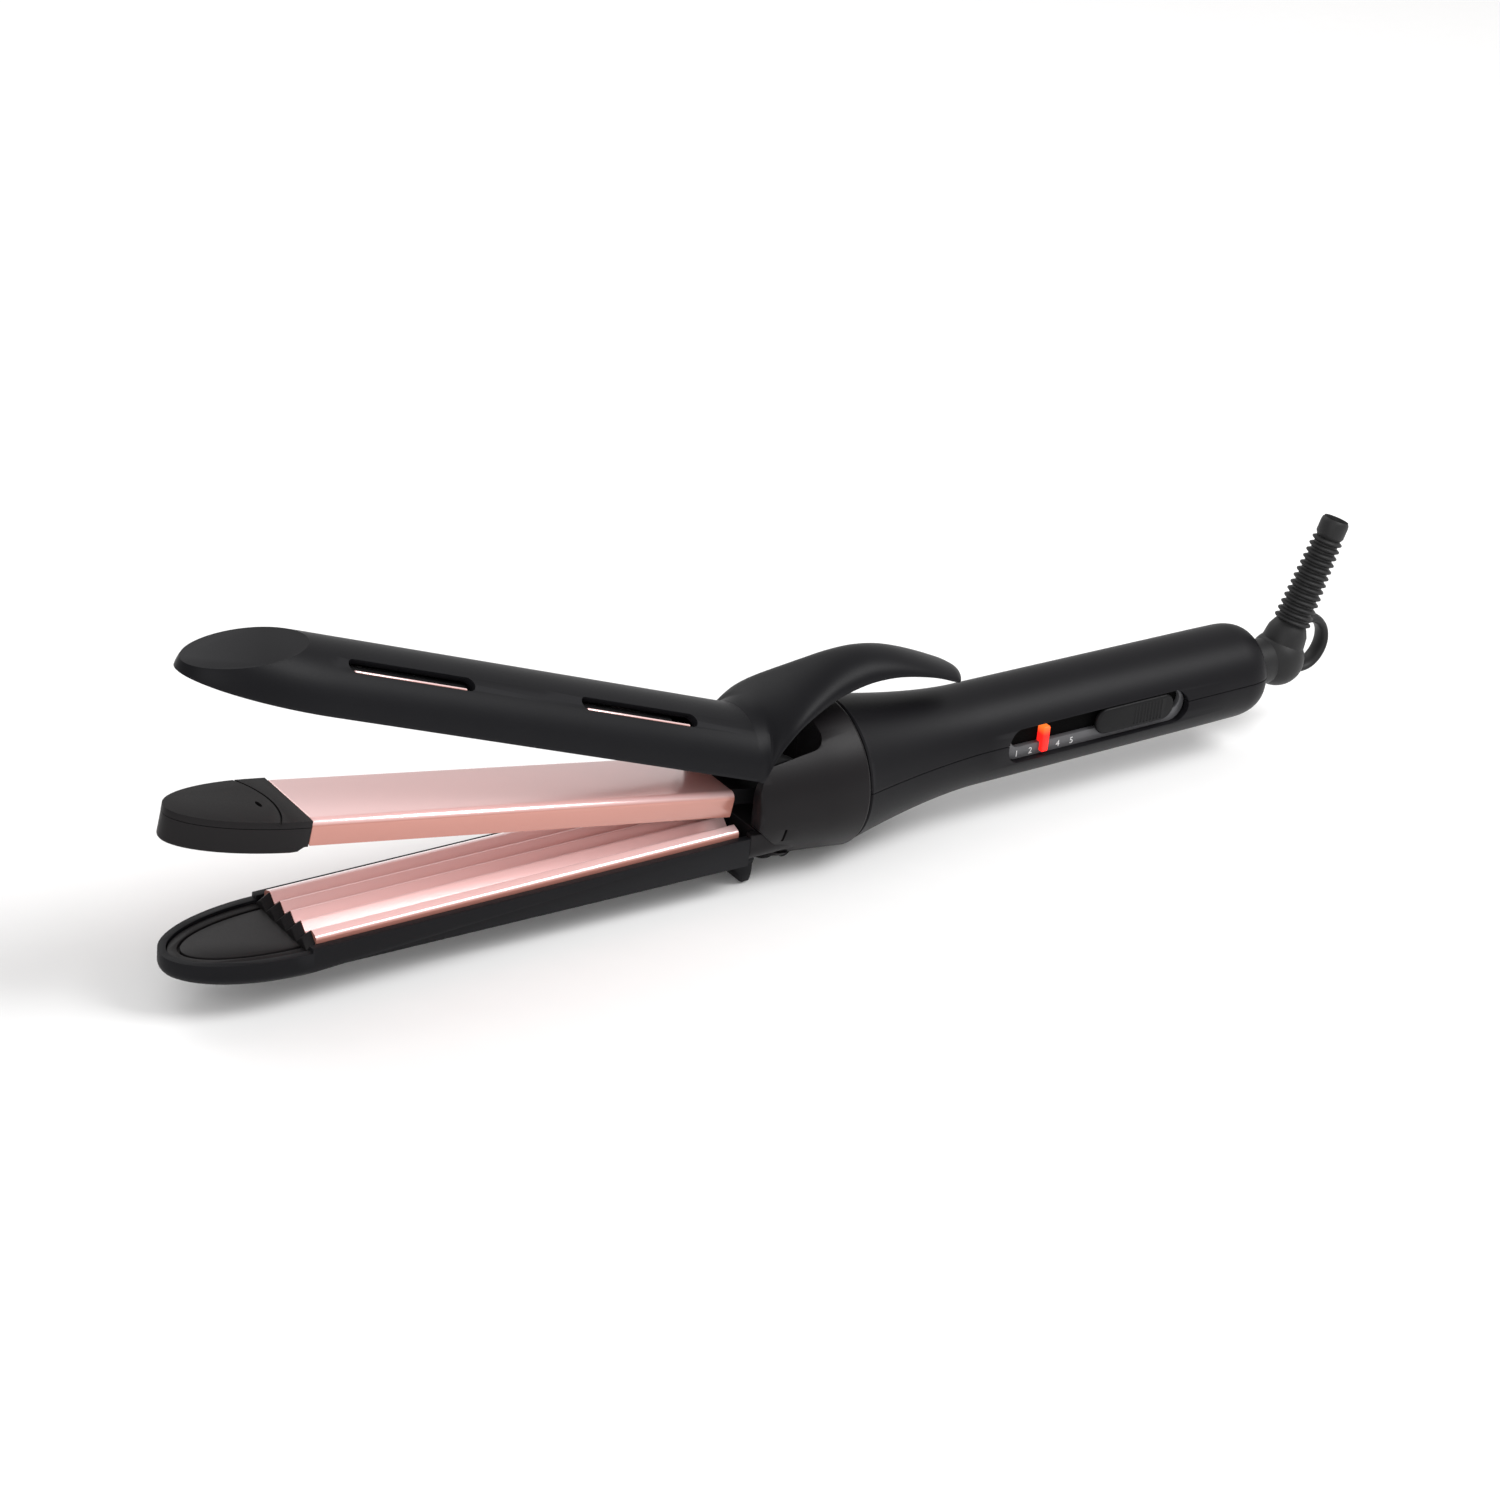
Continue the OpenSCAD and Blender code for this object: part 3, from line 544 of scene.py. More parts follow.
    def cut(self, tool: "Piece", operation: str = "DIFFERENCE") -> "Piece":
        """Cuts another piece out of this one and removes it.

        Args:
            tool: The cutting piece.
            operation: DIFFERENCE, or INTERSECT to keep what both share.

        Returns:
            The piece.
        """
        tool.outward()
        self.modifier("BOOLEAN", operation=operation, object=tool.obj, solver="EXACT")
        bpy.data.objects.remove(tool.obj)
        return self

    def soften(self, width: float, steps: int = 3, angle: float = 40) -> "Piece":
        """Rounds every edge sharper than an angle.

        Args:
            width: Width of the rounding.
            steps: Segments in it.
            angle: The angle in degrees.

        Returns:
            The piece.
        """
        return self.modifier(
            "BEVEL", width=width, segments=steps, limit_method="ANGLE",
            angle_limit=math.radians(angle), harden_normals=False,
        )

    def shell(self, wall: float) -> "Piece":
        """Gives an open surface a wall on its inside."""
        return self.modifier("SOLIDIFY", thickness=wall, offset=-1, use_even_offset=True)

    def twin(self, name: str) -> "Piece":
        """A copy of the piece with its own mesh.

        Args:
            name: Name of the copy.

        Returns:
            The copy.
        """
        self.grab()
        bpy.ops.object.duplicate(linked=False)
        return Piece(name)

    def halve(self, name: str, normal: Place, at: float, gap: float) -> "Piece":
        """Splits the piece along a plane, with a gap between its halves.

        Args:
            name: Name of the half behind the plane.
            normal: The plane's normal.
            at: The plane's distance from zero.
            gap: How far each half stays from the plane.

        Returns:
            The half behind the plane. The piece itself is left as the other half.
        """
        way = Vector(normal)
        half = self.twin(name)
        half.slice(way * (at - gap), way, clear=True)
        half.outward()
        self.slice(way * (at + gap), -way, clear=True)
        self.outward()
        return half

    def join(self, *others: "Piece") -> "Piece":
        """Joins other pieces into this one."""
        self.grab()
        for other in others:
            other.obj.select_set(True)
        bpy.ops.object.join()
        return self

    def settle(self, pose: Matrix, angle: float) -> "Piece":
        """Smooths the piece and moves its mesh to its place at rest.

        Args:
            pose: The matrix from the maker's frame to that place.
            angle: Edges sharper than this stay sharp.

        Returns:
            The piece.
        """
        self.place(pose)
        bpy.ops.object.shade_smooth_by_angle(angle=math.radians(angle))
        return self


@dataclass(frozen=True)
class TipPlan:
    """Plan of an arm: its rear end, half width, tip and the length over which the tip narrows."""

    rear: float
    half: float
    tip: float
    narrow: float

    @property
    def shoulder(self) -> float:
        """Where the tip starts to narrow."""
        return self.tip + self.narrow

    def inside(self, gap: float, rear: float) -> "TipPlan":
        """The same plan, smaller by a gap all round.

        Args:
            gap: How much smaller.
            rear: Where the smaller plan ends.

        Returns:
            The smaller plan.
        """
        return TipPlan(rear, self.half - gap, self.tip + gap, self.narrow - gap)

    def on_outline(self, p: Vector, slack: float, near: float) -> bool:
        """Whether a point lies on the plan's outline, apart from its rear end.

        Args:
            p: The point.
            slack: How far inside a straight side it may lie.
            near: How near to the tip's curve it has to be, 1 being on it.

        Returns:
            True on the straight sides and round the tip.
        """
        if p.x > self.rear - 0.01:
            return False
        if p.x >= self.shoulder:
            return abs(p.y) > self.half - slack
        return ((p.x - self.shoulder) / self.narrow) ** 2 + (p.y / self.half) ** 2 > near


# ---- finishes -----------------------------------------------------------------------
class Net:
    """The nodes of one material."""

    def __init__(self, material: bpy.types.Material) -> None:
        """Finds the material's tree and its shader."""
        material.use_nodes = True
        self.tree: bpy.types.NodeTree = material.node_tree
        self.shader: bpy.types.Node = self.tree.nodes["Principled BSDF"]

    def feed(self, node: bpy.types.Node, values: dict[str, object]) -> bpy.types.Node:
        """Sets a node's inputs.

        Args:
            node: The node.
            values: A plain value or another node's output for each named input.

        Returns:
            The node.
        """
        for key, value in values.items():
            if isinstance(value, bpy.types.NodeSocket):
                self.tree.links.new(value, node.inputs[key])
            else:
                node.inputs[key].default_value = value
        return node

    def add(self, kind: str, values: dict[str, object]) -> bpy.types.Node:
        """Adds a node of a kind and sets its inputs."""
        return self.feed(self.tree.nodes.new(kind), values)

    def place(self) -> bpy.types.NodeSocket:
        """The place on the object."""
        return self.tree.nodes.new("ShaderNodeTexCoord").outputs["Object"]

    def upward(self, source: str) -> bpy.types.NodeSocket:
        """The Z part of one of the object's own coordinates."""
        vector = self.tree.nodes.new("ShaderNodeTexCoord").outputs[source]
        return self.add("ShaderNodeSeparateXYZ", {"Vector": vector}).outputs["Z"]

    def ranged(
        self, value: bpy.types.NodeSocket, low: float, high: float,
        to_low: float = 0.0, to_high: float = 1.0,
    ) -> bpy.types.NodeSocket:
        """Stretches a range of values over another.

        Args:
            value: The value.
            low: Start of its range.
            high: End of its range.
            to_low: What the start becomes.
            to_high: What the end becomes.

        Returns:
            The stretched value.
        """
        return self.add("ShaderNodeMapRange", {
            "Value": value, "From Min": low, "From Max": high, "To Min": to_low, "To Max": to_high,
        }).outputs["Result"]

    def mix(self, share: bpy.types.NodeSocket, low: object, high: object) -> bpy.types.NodeSocket:
        """Blends two colours.

        Args:
            share: How much of the second shows.
            low: The first colour, plain or from a node.
            high: The second colour, plain or from a node.

        Returns:
            The blend.
        """
        node = self.tree.nodes.new("ShaderNodeMix")
        node.data_type = "RGBA"
        return self.feed(node, {"Factor": share, "A": low, "B": high}).outputs["Result"]

    def noise(
        self, place: bpy.types.NodeSocket, size: float, detail: float
    ) -> bpy.types.NodeSocket:
        """Adds a noise pattern.

        Args:
            place: The place that it reads.
            size: Size of its blotches in millimetres.
            detail: How fine it goes below that size.

        Returns:
            The noise's strength.
        """
        values = {"Vector": place, "Scale": 1 / (size * MM), "Detail": detail}
        return self.add("ShaderNodeTexNoise", values).outputs["Fac"]


@dataclass(frozen=True)
class Finish:
    """A surface finish: its colour, gloss and fine grain."""

    name: str
    colour: Place
    roughness: float
    metallic: float = 0.0
    specular: float = 0.5
    coat: float = 0.0
    coat_roughness: float = 0.12
    grain: float = 0.25
    bump: float = 0.12
    mottle: float = 0.12
    wear: float = 0.0
    cloud: float = 9.0
    uneven: float = 0.15
    grain_deep: float = 0.05 * MM
    edge_band: tuple[float, float] = (0.52, 0.62)

    def material(self) -> bpy.types.Material:
        """The finish as a procedural material, made once.

        Returns:
            The material.
        """
        found = bpy.data.materials.get(f"{self.name}_finish")
        return found or self.build()

    def build(self) -> bpy.types.Material:
        """Makes the material's nodes.

        Returns:
            The new material.
        """
        made = bpy.data.materials.new(f"{self.name}_finish")
        net = Net(made)
        place = self.stretched(net, net.place())
        grain = net.noise(place, self.grain, 2)
        dark = (*[c * (1 - self.mottle) for c in self.colour], 1)
        pale = (*[min(1, c * (1 + self.mottle)) for c in self.colour], 1)
        tint = net.mix(net.noise(place, self.cloud, 3), dark, pale)
        relief = {"Strength": self.bump, "Distance": self.grain_deep, "Height": grain}
        bump = net.add("ShaderNodeBump", relief)
        low, high = self.roughness * (1 - self.uneven), min(1, self.roughness * (1 + self.uneven))
        net.feed(net.shader, {
            "Metallic": self.metallic,
            "Specular IOR Level": self.specular,
            "Coat Weight": self.coat,
            "Coat Roughness": self.coat_roughness,
            "Base Color": self.wear_and_painted_shade(net, tint),
            "Roughness": net.ranged(grain, 0, 1, low, high),
            "Normal": bump.outputs["Normal"],
        })
        return made

    def stretched(self, net: Net, place: bpy.types.NodeSocket) -> bpy.types.NodeSocket:
        """The place that the patterns read, as it is for a finish with no direction."""
        return place

    def wear_and_painted_shade(self, net: Net, colour: bpy.types.NodeSocket) -> bpy.types.NodeSocket:
        """Lightens the colour a little where edges are rubbed by wear; RoseCeramic paints shade on upright sides
        here instead.

        Args:
            net: The material's nodes.
            colour: The colour without wear.

        Returns:
            The colour with wear.
        """
        if not self.wear:
            return colour
        edges = net.tree.nodes.new("ShaderNodeNewGeometry").outputs["Pointiness"]
        rubbed = (*[min(1, 3 * c + 0.02) for c in self.colour], 1)
        return net.mix(net.ranged(edges, *self.edge_band, 0, self.wear), colour, rubbed)


@dataclass(frozen=True)
class DrawnMetal(Finish):
    """Metal or coating whose fine lines run along X."""

    stretch: float = 0.04

    def stretched(self, net: Net, place: bpy.types.NodeSocket) -> bpy.types.NodeSocket:
        """Draws the patterns out along X.

        Args:
            net: The material's nodes.
            place: The place as it is.

        Returns:
            The place with X squeezed.
        """
        mapping = net.add("ShaderNodeMapping", {"Scale": (self.stretch, 1, 1), "Vector": place})
        return mapping.outputs["Vector"]


@dataclass(frozen=True)
class RoseCeramic(DrawnMetal):
    """Rose ceramic coating with painted shade: upright sides are painted a deeper tone than flat faces."""

    # painted shade: the colour of upright sides, and the band of upward normal over which it fades into the flat
    # colour
    painted_side_shade: Place = (0.52, 0.22, 0.175)
    side_shade_band: tuple[float, float] = (0.3, 0.72)

    def wear_and_painted_shade(self, net: Net, colour: bpy.types.NodeSocket) -> bpy.types.NodeSocket:
        """Paints shade on upright sides: a deeper tone on faces that lean away from up.

        Args:
            net: The material's nodes.
            colour: The tone of flat faces.

        Returns:
            The colour with the painted side shade.
        """
        # painted shade: faces that lean away from up take the deeper side colour
        flat = net.ranged(net.upward("Normal"), *self.side_shade_band)
        return net.mix(flat, (*self.painted_side_shade, 1), colour)


@dataclass(frozen=True)
class LitBar(Finish):
    """A lit bar that glows orange at its top and red below."""

    low: float = 0.0165
    high: float = 0.0255
    turn_at: float = 0.62
    red: Place = (0.95, 0.012, 0.01)
    orange: Place = (1.0, 0.32, 0.04)
    glow: float = 1.1

    def build(self) -> bpy.types.Material:
        """Adds the glow to the plain finish.

        Returns:
            The new material.
        """
        made = super().build()
        net = Net(made)
        height = net.ranged(net.upward("Object"), self.low, self.high)
        ramp = net.add("ShaderNodeValToRGB", {"Fac": height})
        foot, head = ramp.color_ramp.elements
        foot.position = self.turn_at
        foot.color, head.color = (*self.red, 1), (*self.orange, 1)
        light = {"Emission Color": ramp.outputs["Color"], "Emission Strength": self.glow}
        net.feed(net.shader, light)
        return made


FINISHES: dict[str, Finish] = {made.name: made for made in (
    Finish("grip_plastic", (0.0052, 0.0050, 0.0062), 0.44, specular=0.12, grain=0.3, wear=0.15),
    Finish("housing_plastic", (0.0072, 0.0062, 0.0070), 0.42, specular=0.15, grain=0.3, wear=0.15),
    Finish("shell_plastic", (0.0050, 0.0050, 0.0062), 0.44, specular=0.11, grain=0.28, wear=0.15),
    Finish("nose_plastic", (0.0080, 0.0070, 0.0075), 0.46, specular=0.14, grain=0.35, wear=0.15),
    Finish("structural_nylon", (0.005, 0.005, 0.0055), 0.5, specular=0.1, grain=0.4),
    RoseCeramic(
        "rose_ceramic", (0.98, 0.68, 0.67), 0.2, metallic=0.3, coat=1.0,
        grain=0.12, bump=0.04, mottle=0.015,
    ),
    DrawnMetal("steel", (0.56, 0.56, 0.58), 0.3, metallic=1.0, grain=0.1, bump=0.08, mottle=0.05),
    Finish("ceramic_heater", (0.75, 0.72, 0.66), 0.6, grain=0.15, bump=0.2, mottle=0.05),
    Finish("insulation", (0.72, 0.7, 0.66), 0.55, grain=0.4, bump=0.15, mottle=0.08),
    Finish("component_black", (0.004, 0.004, 0.0045), 0.4, specular=0.12, grain=0.3),
    Finish("board_green", (0.02, 0.14, 0.06), 0.35, coat=0.3, grain=0.8, mottle=0.25),
    LitBar("led_red", (0.75, 0.015, 0.01), 0.35, specular=0.2, grain=0.5),
    Finish("scale_grey", (0.085, 0.085, 0.09), 0.36, specular=0.3, grain=0.2, mottle=0.1),
    Finish("knob_black", (0.005, 0.005, 0.0055), 0.46, specular=0.14, grain=0.2, wear=0.25),
    Finish("slide_white", (0.7, 0.7, 0.67), 0.4, grain=0.4, mottle=0.05),
    DrawnMetal("brass", (0.72, 0.5, 0.2), 0.28, metallic=1.0, grain=0.1, bump=0.08, mottle=0.08),
    Finish("lead_red", (0.42, 0.03, 0.02), 0.5, grain=0.4, bump=0.2),
    Finish("boot_rubber", (0.0150, 0.0150, 0.0155), 0.5, specular=0.22, grain=0.25, bump=0.25),
)}
MARK_WHITE = Finish("mark_white", (0.6, 0.6, 0.6), 0.5, grain=0.2, mottle=0.05)
# painted shade: near-black finish of the sheet that stands in for the shade behind the slider slot
SLOT_PAINTED_SHADE = Finish("slot_painted_shade", (0.002, 0.002, 0.002), 0.8, specular=0.05, grain=0.3)
PALE_FLOOR = Finish(
    "pale_floor", (0.86, 0.86, 0.86), 0.7, specular=0.2, grain=30, bump=0.02, mottle=0.01
)


class Bench:
    """Hands a piece over: places it, dresses it, hangs it on its body and hides the nodes that it stands for."""

    def __init__(self, gauge: Gauge) -> None:
        """Keeps the gauge that knows each body's place."""
        self.gauge = gauge

    def hand_over(
        self, piece: Piece, body: Body, slot: str,
        replaces: Iterable[str] = (), finish: Finish | None = None,
        angle: float = 32,
    ) -> Piece:
        """Places, dresses and reports a piece.

        Args:
            piece: The piece, in the maker's frame.
            body: The body that it rides on.
            slot: The material slot that it takes its finish from.
            replaces: The CAD nodes that it stands for.
            finish: A finish other than the slot's own.
            angle: Edges sharper than this stay sharp.

        Returns:
            The piece.
        """
        piece.settle(self.gauge.pose(body), angle)
        piece.obj.data.materials.clear()
        piece.obj.data.materials.append((finish or FINISHES[slot]).material())
        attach(piece.obj, body.value)
        if replaces:
            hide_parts(*replaces)
        LOG.info("%s: %d faces on %s", piece.obj.name, len(piece.obj.data.polygons), body.value)
        return piece


# ---- sub-assemblies -----------------------------------------------------------------
@dataclass
class HandleGrip:
    """The round handle with its hollow neck, rounded end and the window of the slide."""

    bench: Bench
    grip_r: float = 13.3
    end_r: float = 12.7
    neck_len: float = 42
    neck_power: float = 1.6
    end_round: float = 7
    end_hole: float = 8.7
    wall: float = 2.0
    parting: float = 1.5
    seam: float = 0.12
    lead: float = 0.35
    recess: float = 0.55
    bead: float = 1.2
    neck_steps: int = 20
    end_steps: int = 9
    window_gap: float = 0.1
    window_cut: tuple[float, float] = (-20, -6)
    edge_round: float = 0.22

    def radius(self, x: float, start: float, end: float, neck: float) -> float:
        """Radius of the handle.

        Args:
            x: Place along the handle.
            start: Where the neck starts.
            end: The handle's end.
            neck: Radius at the start of the neck.

        Returns:
            The radius there, before the end's rounding.
        """
        along = (x - start) / self.neck_len
        if along < 1:
            return self.grip_r + (neck - self.grip_r) * (1 - along) ** self.neck_power
        rest = (x - start - self.neck_len) / (end - start - self.neck_len)
        return self.grip_r + (self.end_r - self.grip_r) * rest

    def build(self) -> None:
        """Makes the upper and the lower half of the grip."""
        gauge = self.bench.gauge
        shell, plate = gauge.box("handle_upper_shell"), gauge.box("scale_plate")
        start, end, neck = shell.lo.x, shell.hi.x, shell.hi.z
        first = start + self.lead
        steps = range(1, self.neck_steps + 1)
        places = [first + 0.5] + [start + self.neck_len * i / self.neck_steps for i in steps]
        places += [start + self.neck_len + 20 * i for i in (1, 2, 3, 4)]
        body = Piece.ring("grip", round_station(first, neck - self.recess), 96, closed=False)
        body.loft([round_station(x, self.radius(x, start, end, neck))
                   for x in places if x < end - self.end_round])
        flat = self.end_hole + self.bead
        lift = self.radius(end, start, end, neck) - flat
        body.loft([round_station(end - self.end_round * (1 - out), flat + lift * up)
                   for out, up in quarter(self.end_steps)])
        body.loft([round_station(end, self.end_hole + 0.4),
                   round_station(end - 0.4, self.end_hole)])
        body.outward()
        body.shell(self.wall)
        gap, (near, far) = self.window_gap, self.window_cut
        body.cut(Piece.pill("window", (plate.lo.x - gap, near, plate.lo.z - gap),
                            (plate.hi.x + gap, far, plate.hi.z + gap)))
        lower = body.halve("grip_lower", (0, 0, 1), self.parting, self.seam)
        body.obj.name = "grip_upper"
        for half, node in ((body, "handle_upper_shell"), (lower, "handle_lower_shell")):
            half.soften(self.edge_round, 2, 50)
            self.bench.hand_over(half, Body.HANDLE, "grip_plastic", [node])


@dataclass
class HingeHousing:
    """The conical housing round the hinge, open at its front for the arms."""

    bench: Bench
    front_r: float = 16.6
    slot_half: float = 12.2
    slot_rear: float = 0.5
    slot_low: float = -9.8
    slot_round: float = 3.6
    corner: float = 7.9
    corner_z: float = 4.6
    slant: float = 4.0
    slant_from: float = -3.0
    slant_drop: float = 11
    edge: float = 1.0
    edge_steps: int = 5
    spigot_len: float = 4
    spigot_r: float = 14
    halves_gap: float = 0.03
    slit: tuple[Place, Place] = ((7.2, -20, -7.8), (7.9, -15.2, -3.9))
    lip_low: float = -12.9
    lip_high: float = -4.6
    lip_round: float = 4.4
    lip_reach: float = 1.4
    lip_len: float = 13
    room_half: float = 12.4
    bump_at: float = 11.0
    bump_top: float = -13.6

    def build(self) -> None:
        """Makes both halves with their slit, the lip in front and the rib below."""
        gauge = self.bench.gauge
        box = gauge.box("hinge_housing_left")
        self.front: float = box.lo.x
        front, rear, rear_r = self.front, gauge.box("handle_upper_shell").lo.x, box.hi.z
        grow = (rear_r - self.front_r) / (rear - front)
        body = Piece.ring("housing", round_station(front, self.front_r - self.edge), 96)
        edge = self.edge
        body.loft([round_station(front + edge * (1 - up), self.front_r - edge * (1 - out))
                   for out, up in quarter(self.edge_steps, 1)])
        body.loft([round_station(front + t, self.front_r + grow * t) for t in (4, 12, 20)])
        body.loft([round_station(rear - edge * (1 - out), rear_r - edge * (1 - up))
                   for out, up in quarter(self.edge_steps)])
        body.loft([round_station(rear + 0.35, rear_r - edge - 0.3),
                   round_station(rear + self.spigot_len, self.spigot_r)])
        body.cap()
        body.outward()
        # the front slants back below the pin
        ahead = (self.slant_from - self.slant_drop, 0, -self.slant)
        body.slice((front, 0, self.slant_from), ahead, clear=True)
        body.cut(self.slot())
        corner = Piece.block("corner", (front - 3, -FAR, self.corner_z),
                             (front + self.corner, FAR, FAR))
        centre = (front + self.corner, 0, self.corner_z)
        corner.cut(Piece.rod("round", centre, self.corner, 70, "Y", 96))
        body.cut(corner)
        lo, hi = self.slit
        body.cut(Piece.block("slit", (front + lo[0], *lo[1:]), (front + hi[0], *hi[1:])))
        body.outward()
        lip = self.lip(gauge.box("lower_arm_shell").hi.y)
        left = body.halve("housing_left", (0, 1, 0), 0, self.halves_gap)
        body.obj.name = "housing_right"
        for half, node in ((left, "hinge_housing_left"), (body, "hinge_housing_right")):
            half.soften(0.6, 3, 50)
            self.bench.hand_over(half, Body.HANDLE, "housing_plastic", [node])
        self.bench.hand_over(lip, Body.HANDLE, "housing_plastic")
        self.bump()

    def slot(self) -> Piece:
        """The cutter of the slot for the arms, with rounded rear corners.

        Returns:
            The cutter.
        """
        slot = Piece.block("slot", (self.front - FAR, -self.slot_half, self.slot_low),
                           (self.slot_rear, self.slot_half, FAR))
        slot.pick_edges(lambda a, b: min(a.x, b.x) > 0 and abs(a.z - b.z) > 1)
        slot.bevel(self.slot_round, 8)
        return slot

    def lip(self, half: float) -> Piece:
        """The housing's lower lip, in the section of the arm that it holds.

        Args:
            half: The lower arm's half width.

        Returns:
            The lip.
        """
        front, low, high = self.front, self.lip_low, self.lip_high
        lip = Piece.block("housing_lip", (front - self.lip_reach, -half, low),
                          (front + self.lip_len, half, high))
        lip.pick_edges(lambda a, b: max(a.z, b.z) < low + 0.01 and abs(a.x - b.x) > 1)
        lip.bevel(self.lip_round, 8)
        lip.cut(Piece.block("room", (front - 8, -self.room_half, low + 2),
                            (front + 1.2, self.room_half, high + 3)))
        lip.soften(0.35, 3, 45)
        return lip

    def bump(self) -> None:
        """The low rib under the housing."""
        x, radius = self.front + self.bump_at, self.front_r + 0.6
        rib = Piece.ring("housing_bump", round_station(x - 2.2, radius - 0.4))
        rib.loft([round_station(x - 1.4, radius + 0.9), round_station(x + 0.6, radius + 1.3),
                  round_station(x + 1.6, radius + 1.0), round_station(x + 2.0, radius + 0.2)])
        rib.outward()
        rib.slice((0, 0, self.bump_top), (0, 0, 1), clear=True)
        rib.outward()
        rib.soften(0.3, 3, 40)
        self.bench.hand_over(rib, Body.HANDLE, "housing_plastic")


@dataclass
class LowerArm:
    """The fixed arm: its tray, the insert in its tip, the ridged plate and the rest foot."""

    bench: Bench
    tip_len: float = 32
    edge_r: float = 4.4
    wall: float = 2.0
    seam_ahead: float = 1.55
    seat: float = -4.4
    rim_drop: float = 1.0
    groove_in: float = 2.4
    rise: float = 0.9
    ridges: int = 5
    fold: float = 2.2
    plate_gap: float = 0.35
    foot_len: float = 8.3
    foot_front: tuple[tuple[float, float], ...] = ((0.0, 5.5), (0.33, 4.5), (0.66, 3.0))

    def build(self) -> None:
        """Makes every piece of the arm."""
        gauge = self.bench.gauge
        self.arm: Box = gauge.box("lower_arm_shell")
        self.plate: Box = gauge.box("crimp_plate")
        self.insert: Box = gauge.box("lower_tip_insert")
        self.housing: Box = gauge.box("hinge_housing_left")
        self.half: float = self.arm.hi.y
        self.bottom: float = gauge.box("lower_heater_clamp").lo.z - self.wall
        self.rim = self.seat - self.rim_drop
        rear = self.housing.lo.x - self.seam_ahead
        self.plan = TipPlan(rear, self.half, self.arm.lo.x, self.tip_len)
        self.tray()
        self.tip_insert()
        self.ridged_plate()

    def tray(self) -> None:
        """The tray with its rounded underside, rising tip and rest foot."""
        tray = Piece.oval_plan("lower_tray", self.plan, self.rim)
        tray.extrude((0, 0, self.bottom - self.rim))
        tray.outward()
        points = [v.co for v in bmesh.from_edit_mesh(tray.obj.data).verts]
        low = [p.x for p in points if p.z < self.bottom + 0.01]
        for x in sorted({round(x, 2) for x in low if x < self.plan.shoulder - 0.01}):
            lift = self.rise * ((self.plan.shoulder - x) / self.tip_len) ** 2
            tray.pick_verts(lambda p: abs(p.x - x) < 0.006 and p.z < self.bottom + 0.01)
            tray.move((0, 0, lift))
        tray.pick_edges(lambda a, b: max(a.z, b.z) < self.rim - 1
                        and all(self.plan.on_outline(p, 0.01, 0.985) for p in (a, b)))
        tray.bevel(self.edge_r, 7)
        hollow = Piece.oval_plan("hollow", self.plan.inside(self.wall, 0), self.rim + 4)
        hollow.extrude((0, 0, self.bottom + self.wall - self.rim - 4))
        tray.cut(hollow)
        # the rim is lower at the tip, under the nose of the middle arm
        drop_to = self.insert.hi.z + 0.6
        tray.cut(Piece.block("wedge", (self.plan.tip - 5, -FAR, drop_to),
                             (self.plate.lo.x - 2, FAR, drop_to + 20)))
        tray.outward()
        tray.soften(0.45, 3, 42)
        tray.join(self.foot())
        self.bench.hand_over(tray, Body.HANDLE, "shell_plastic", ["lower_arm_shell"])

    def foot(self) -> Piece:
        """The wedge foot under the arm's root.

        Returns:
            The foot.
        """
        low, rear = self.arm.lo.z, self.housing.lo.x + 2.9
        top = self.bottom + 1.4
        foot = Piece.block("foot", (rear - self.foot_len, -11, low), (rear, 11, top))
        height = top - low
        for share, _ in self.foot_front[1:]:
            foot.slice((0, 0, low + height * share), (0, 0, 1))
        for share, reach in self.foot_front:
            foot.pick_verts(lambda p: p.x < rear - 1 and abs(p.z - low - height * share) < 0.05)
            foot.move((reach, 0, 0))
        foot.pick_verts(lambda p: p.z < low + 0.1)
        foot.resize((1, 0.93, 1), (rear, 0, low))
        foot.outward()
        foot.pick_edges(lambda a, b: max(a.z, b.z) < self.bottom)
        foot.bevel(0.7, 3)
        return foot

    def tip_insert(self) -> None:
        """The recessed insert with its groove and the toothed wall in front of the plate."""
        top, low = self.insert.hi.z, self.insert.lo.z
        plan = self.plan.inside(self.wall + 0.25, self.plate.lo.x - 0.15)
        pad = Piece.oval_plan("tip_insert", plan, top)
        pad.extrude((0, 0, low - top))
        pad.outward()
        groove = Piece.oval_plan("groove", plan.inside(self.groove_in, plan.rear - 0.8), top + 1)
        groove.extrude((0, 0, -2.0))
        inner = Piece.oval_plan("inner", plan.inside(self.groove_in + 0.7, plan.rear), top + 2)
        inner.extrude((0, 0, -4.0))
        groove.outward()
        groove.cut(inner)
        pad.cut(groove)
        pad.outward()
        pad.soften(0.2, 2, 45)
        pad.join(self.teeth(top))
        self.bench.hand_over(pad, Body.HANDLE, "nose_plastic", ["lower_tip_insert"])

    def rows(
        self, name: str, x0: float, x1: float, peak: float, valley: float, half: float
    ) -> Piece:
        """A sheet folded into ridges that run along X.

        Args:
            name: Name of the piece.
            x0: Its front end.
            x1: Its rear end.
            peak: Height of the ridges' peaks.
            valley: Height of the valleys.
            half: Half its width.

        Returns:
            The sheet.
        """
        Piece.clear()
        folds = 2 * self.ridges
        bpy.ops.mesh.primitive_grid_add(
            x_subdivisions=1, y_subdivisions=folds, size=1, location=((x0 + x1) / 2, 0, valley)
        )
        bpy.context.active_object.scale = (x1 - x0, 2 * half, 1)
        sheet = Piece(name)
        step = 2 * half / folds
        sheet.pick_verts(lambda p: round((p.y + half) / step) % 2 == 1)
        sheet.move((0, 0, peak - valley))
        return sheet

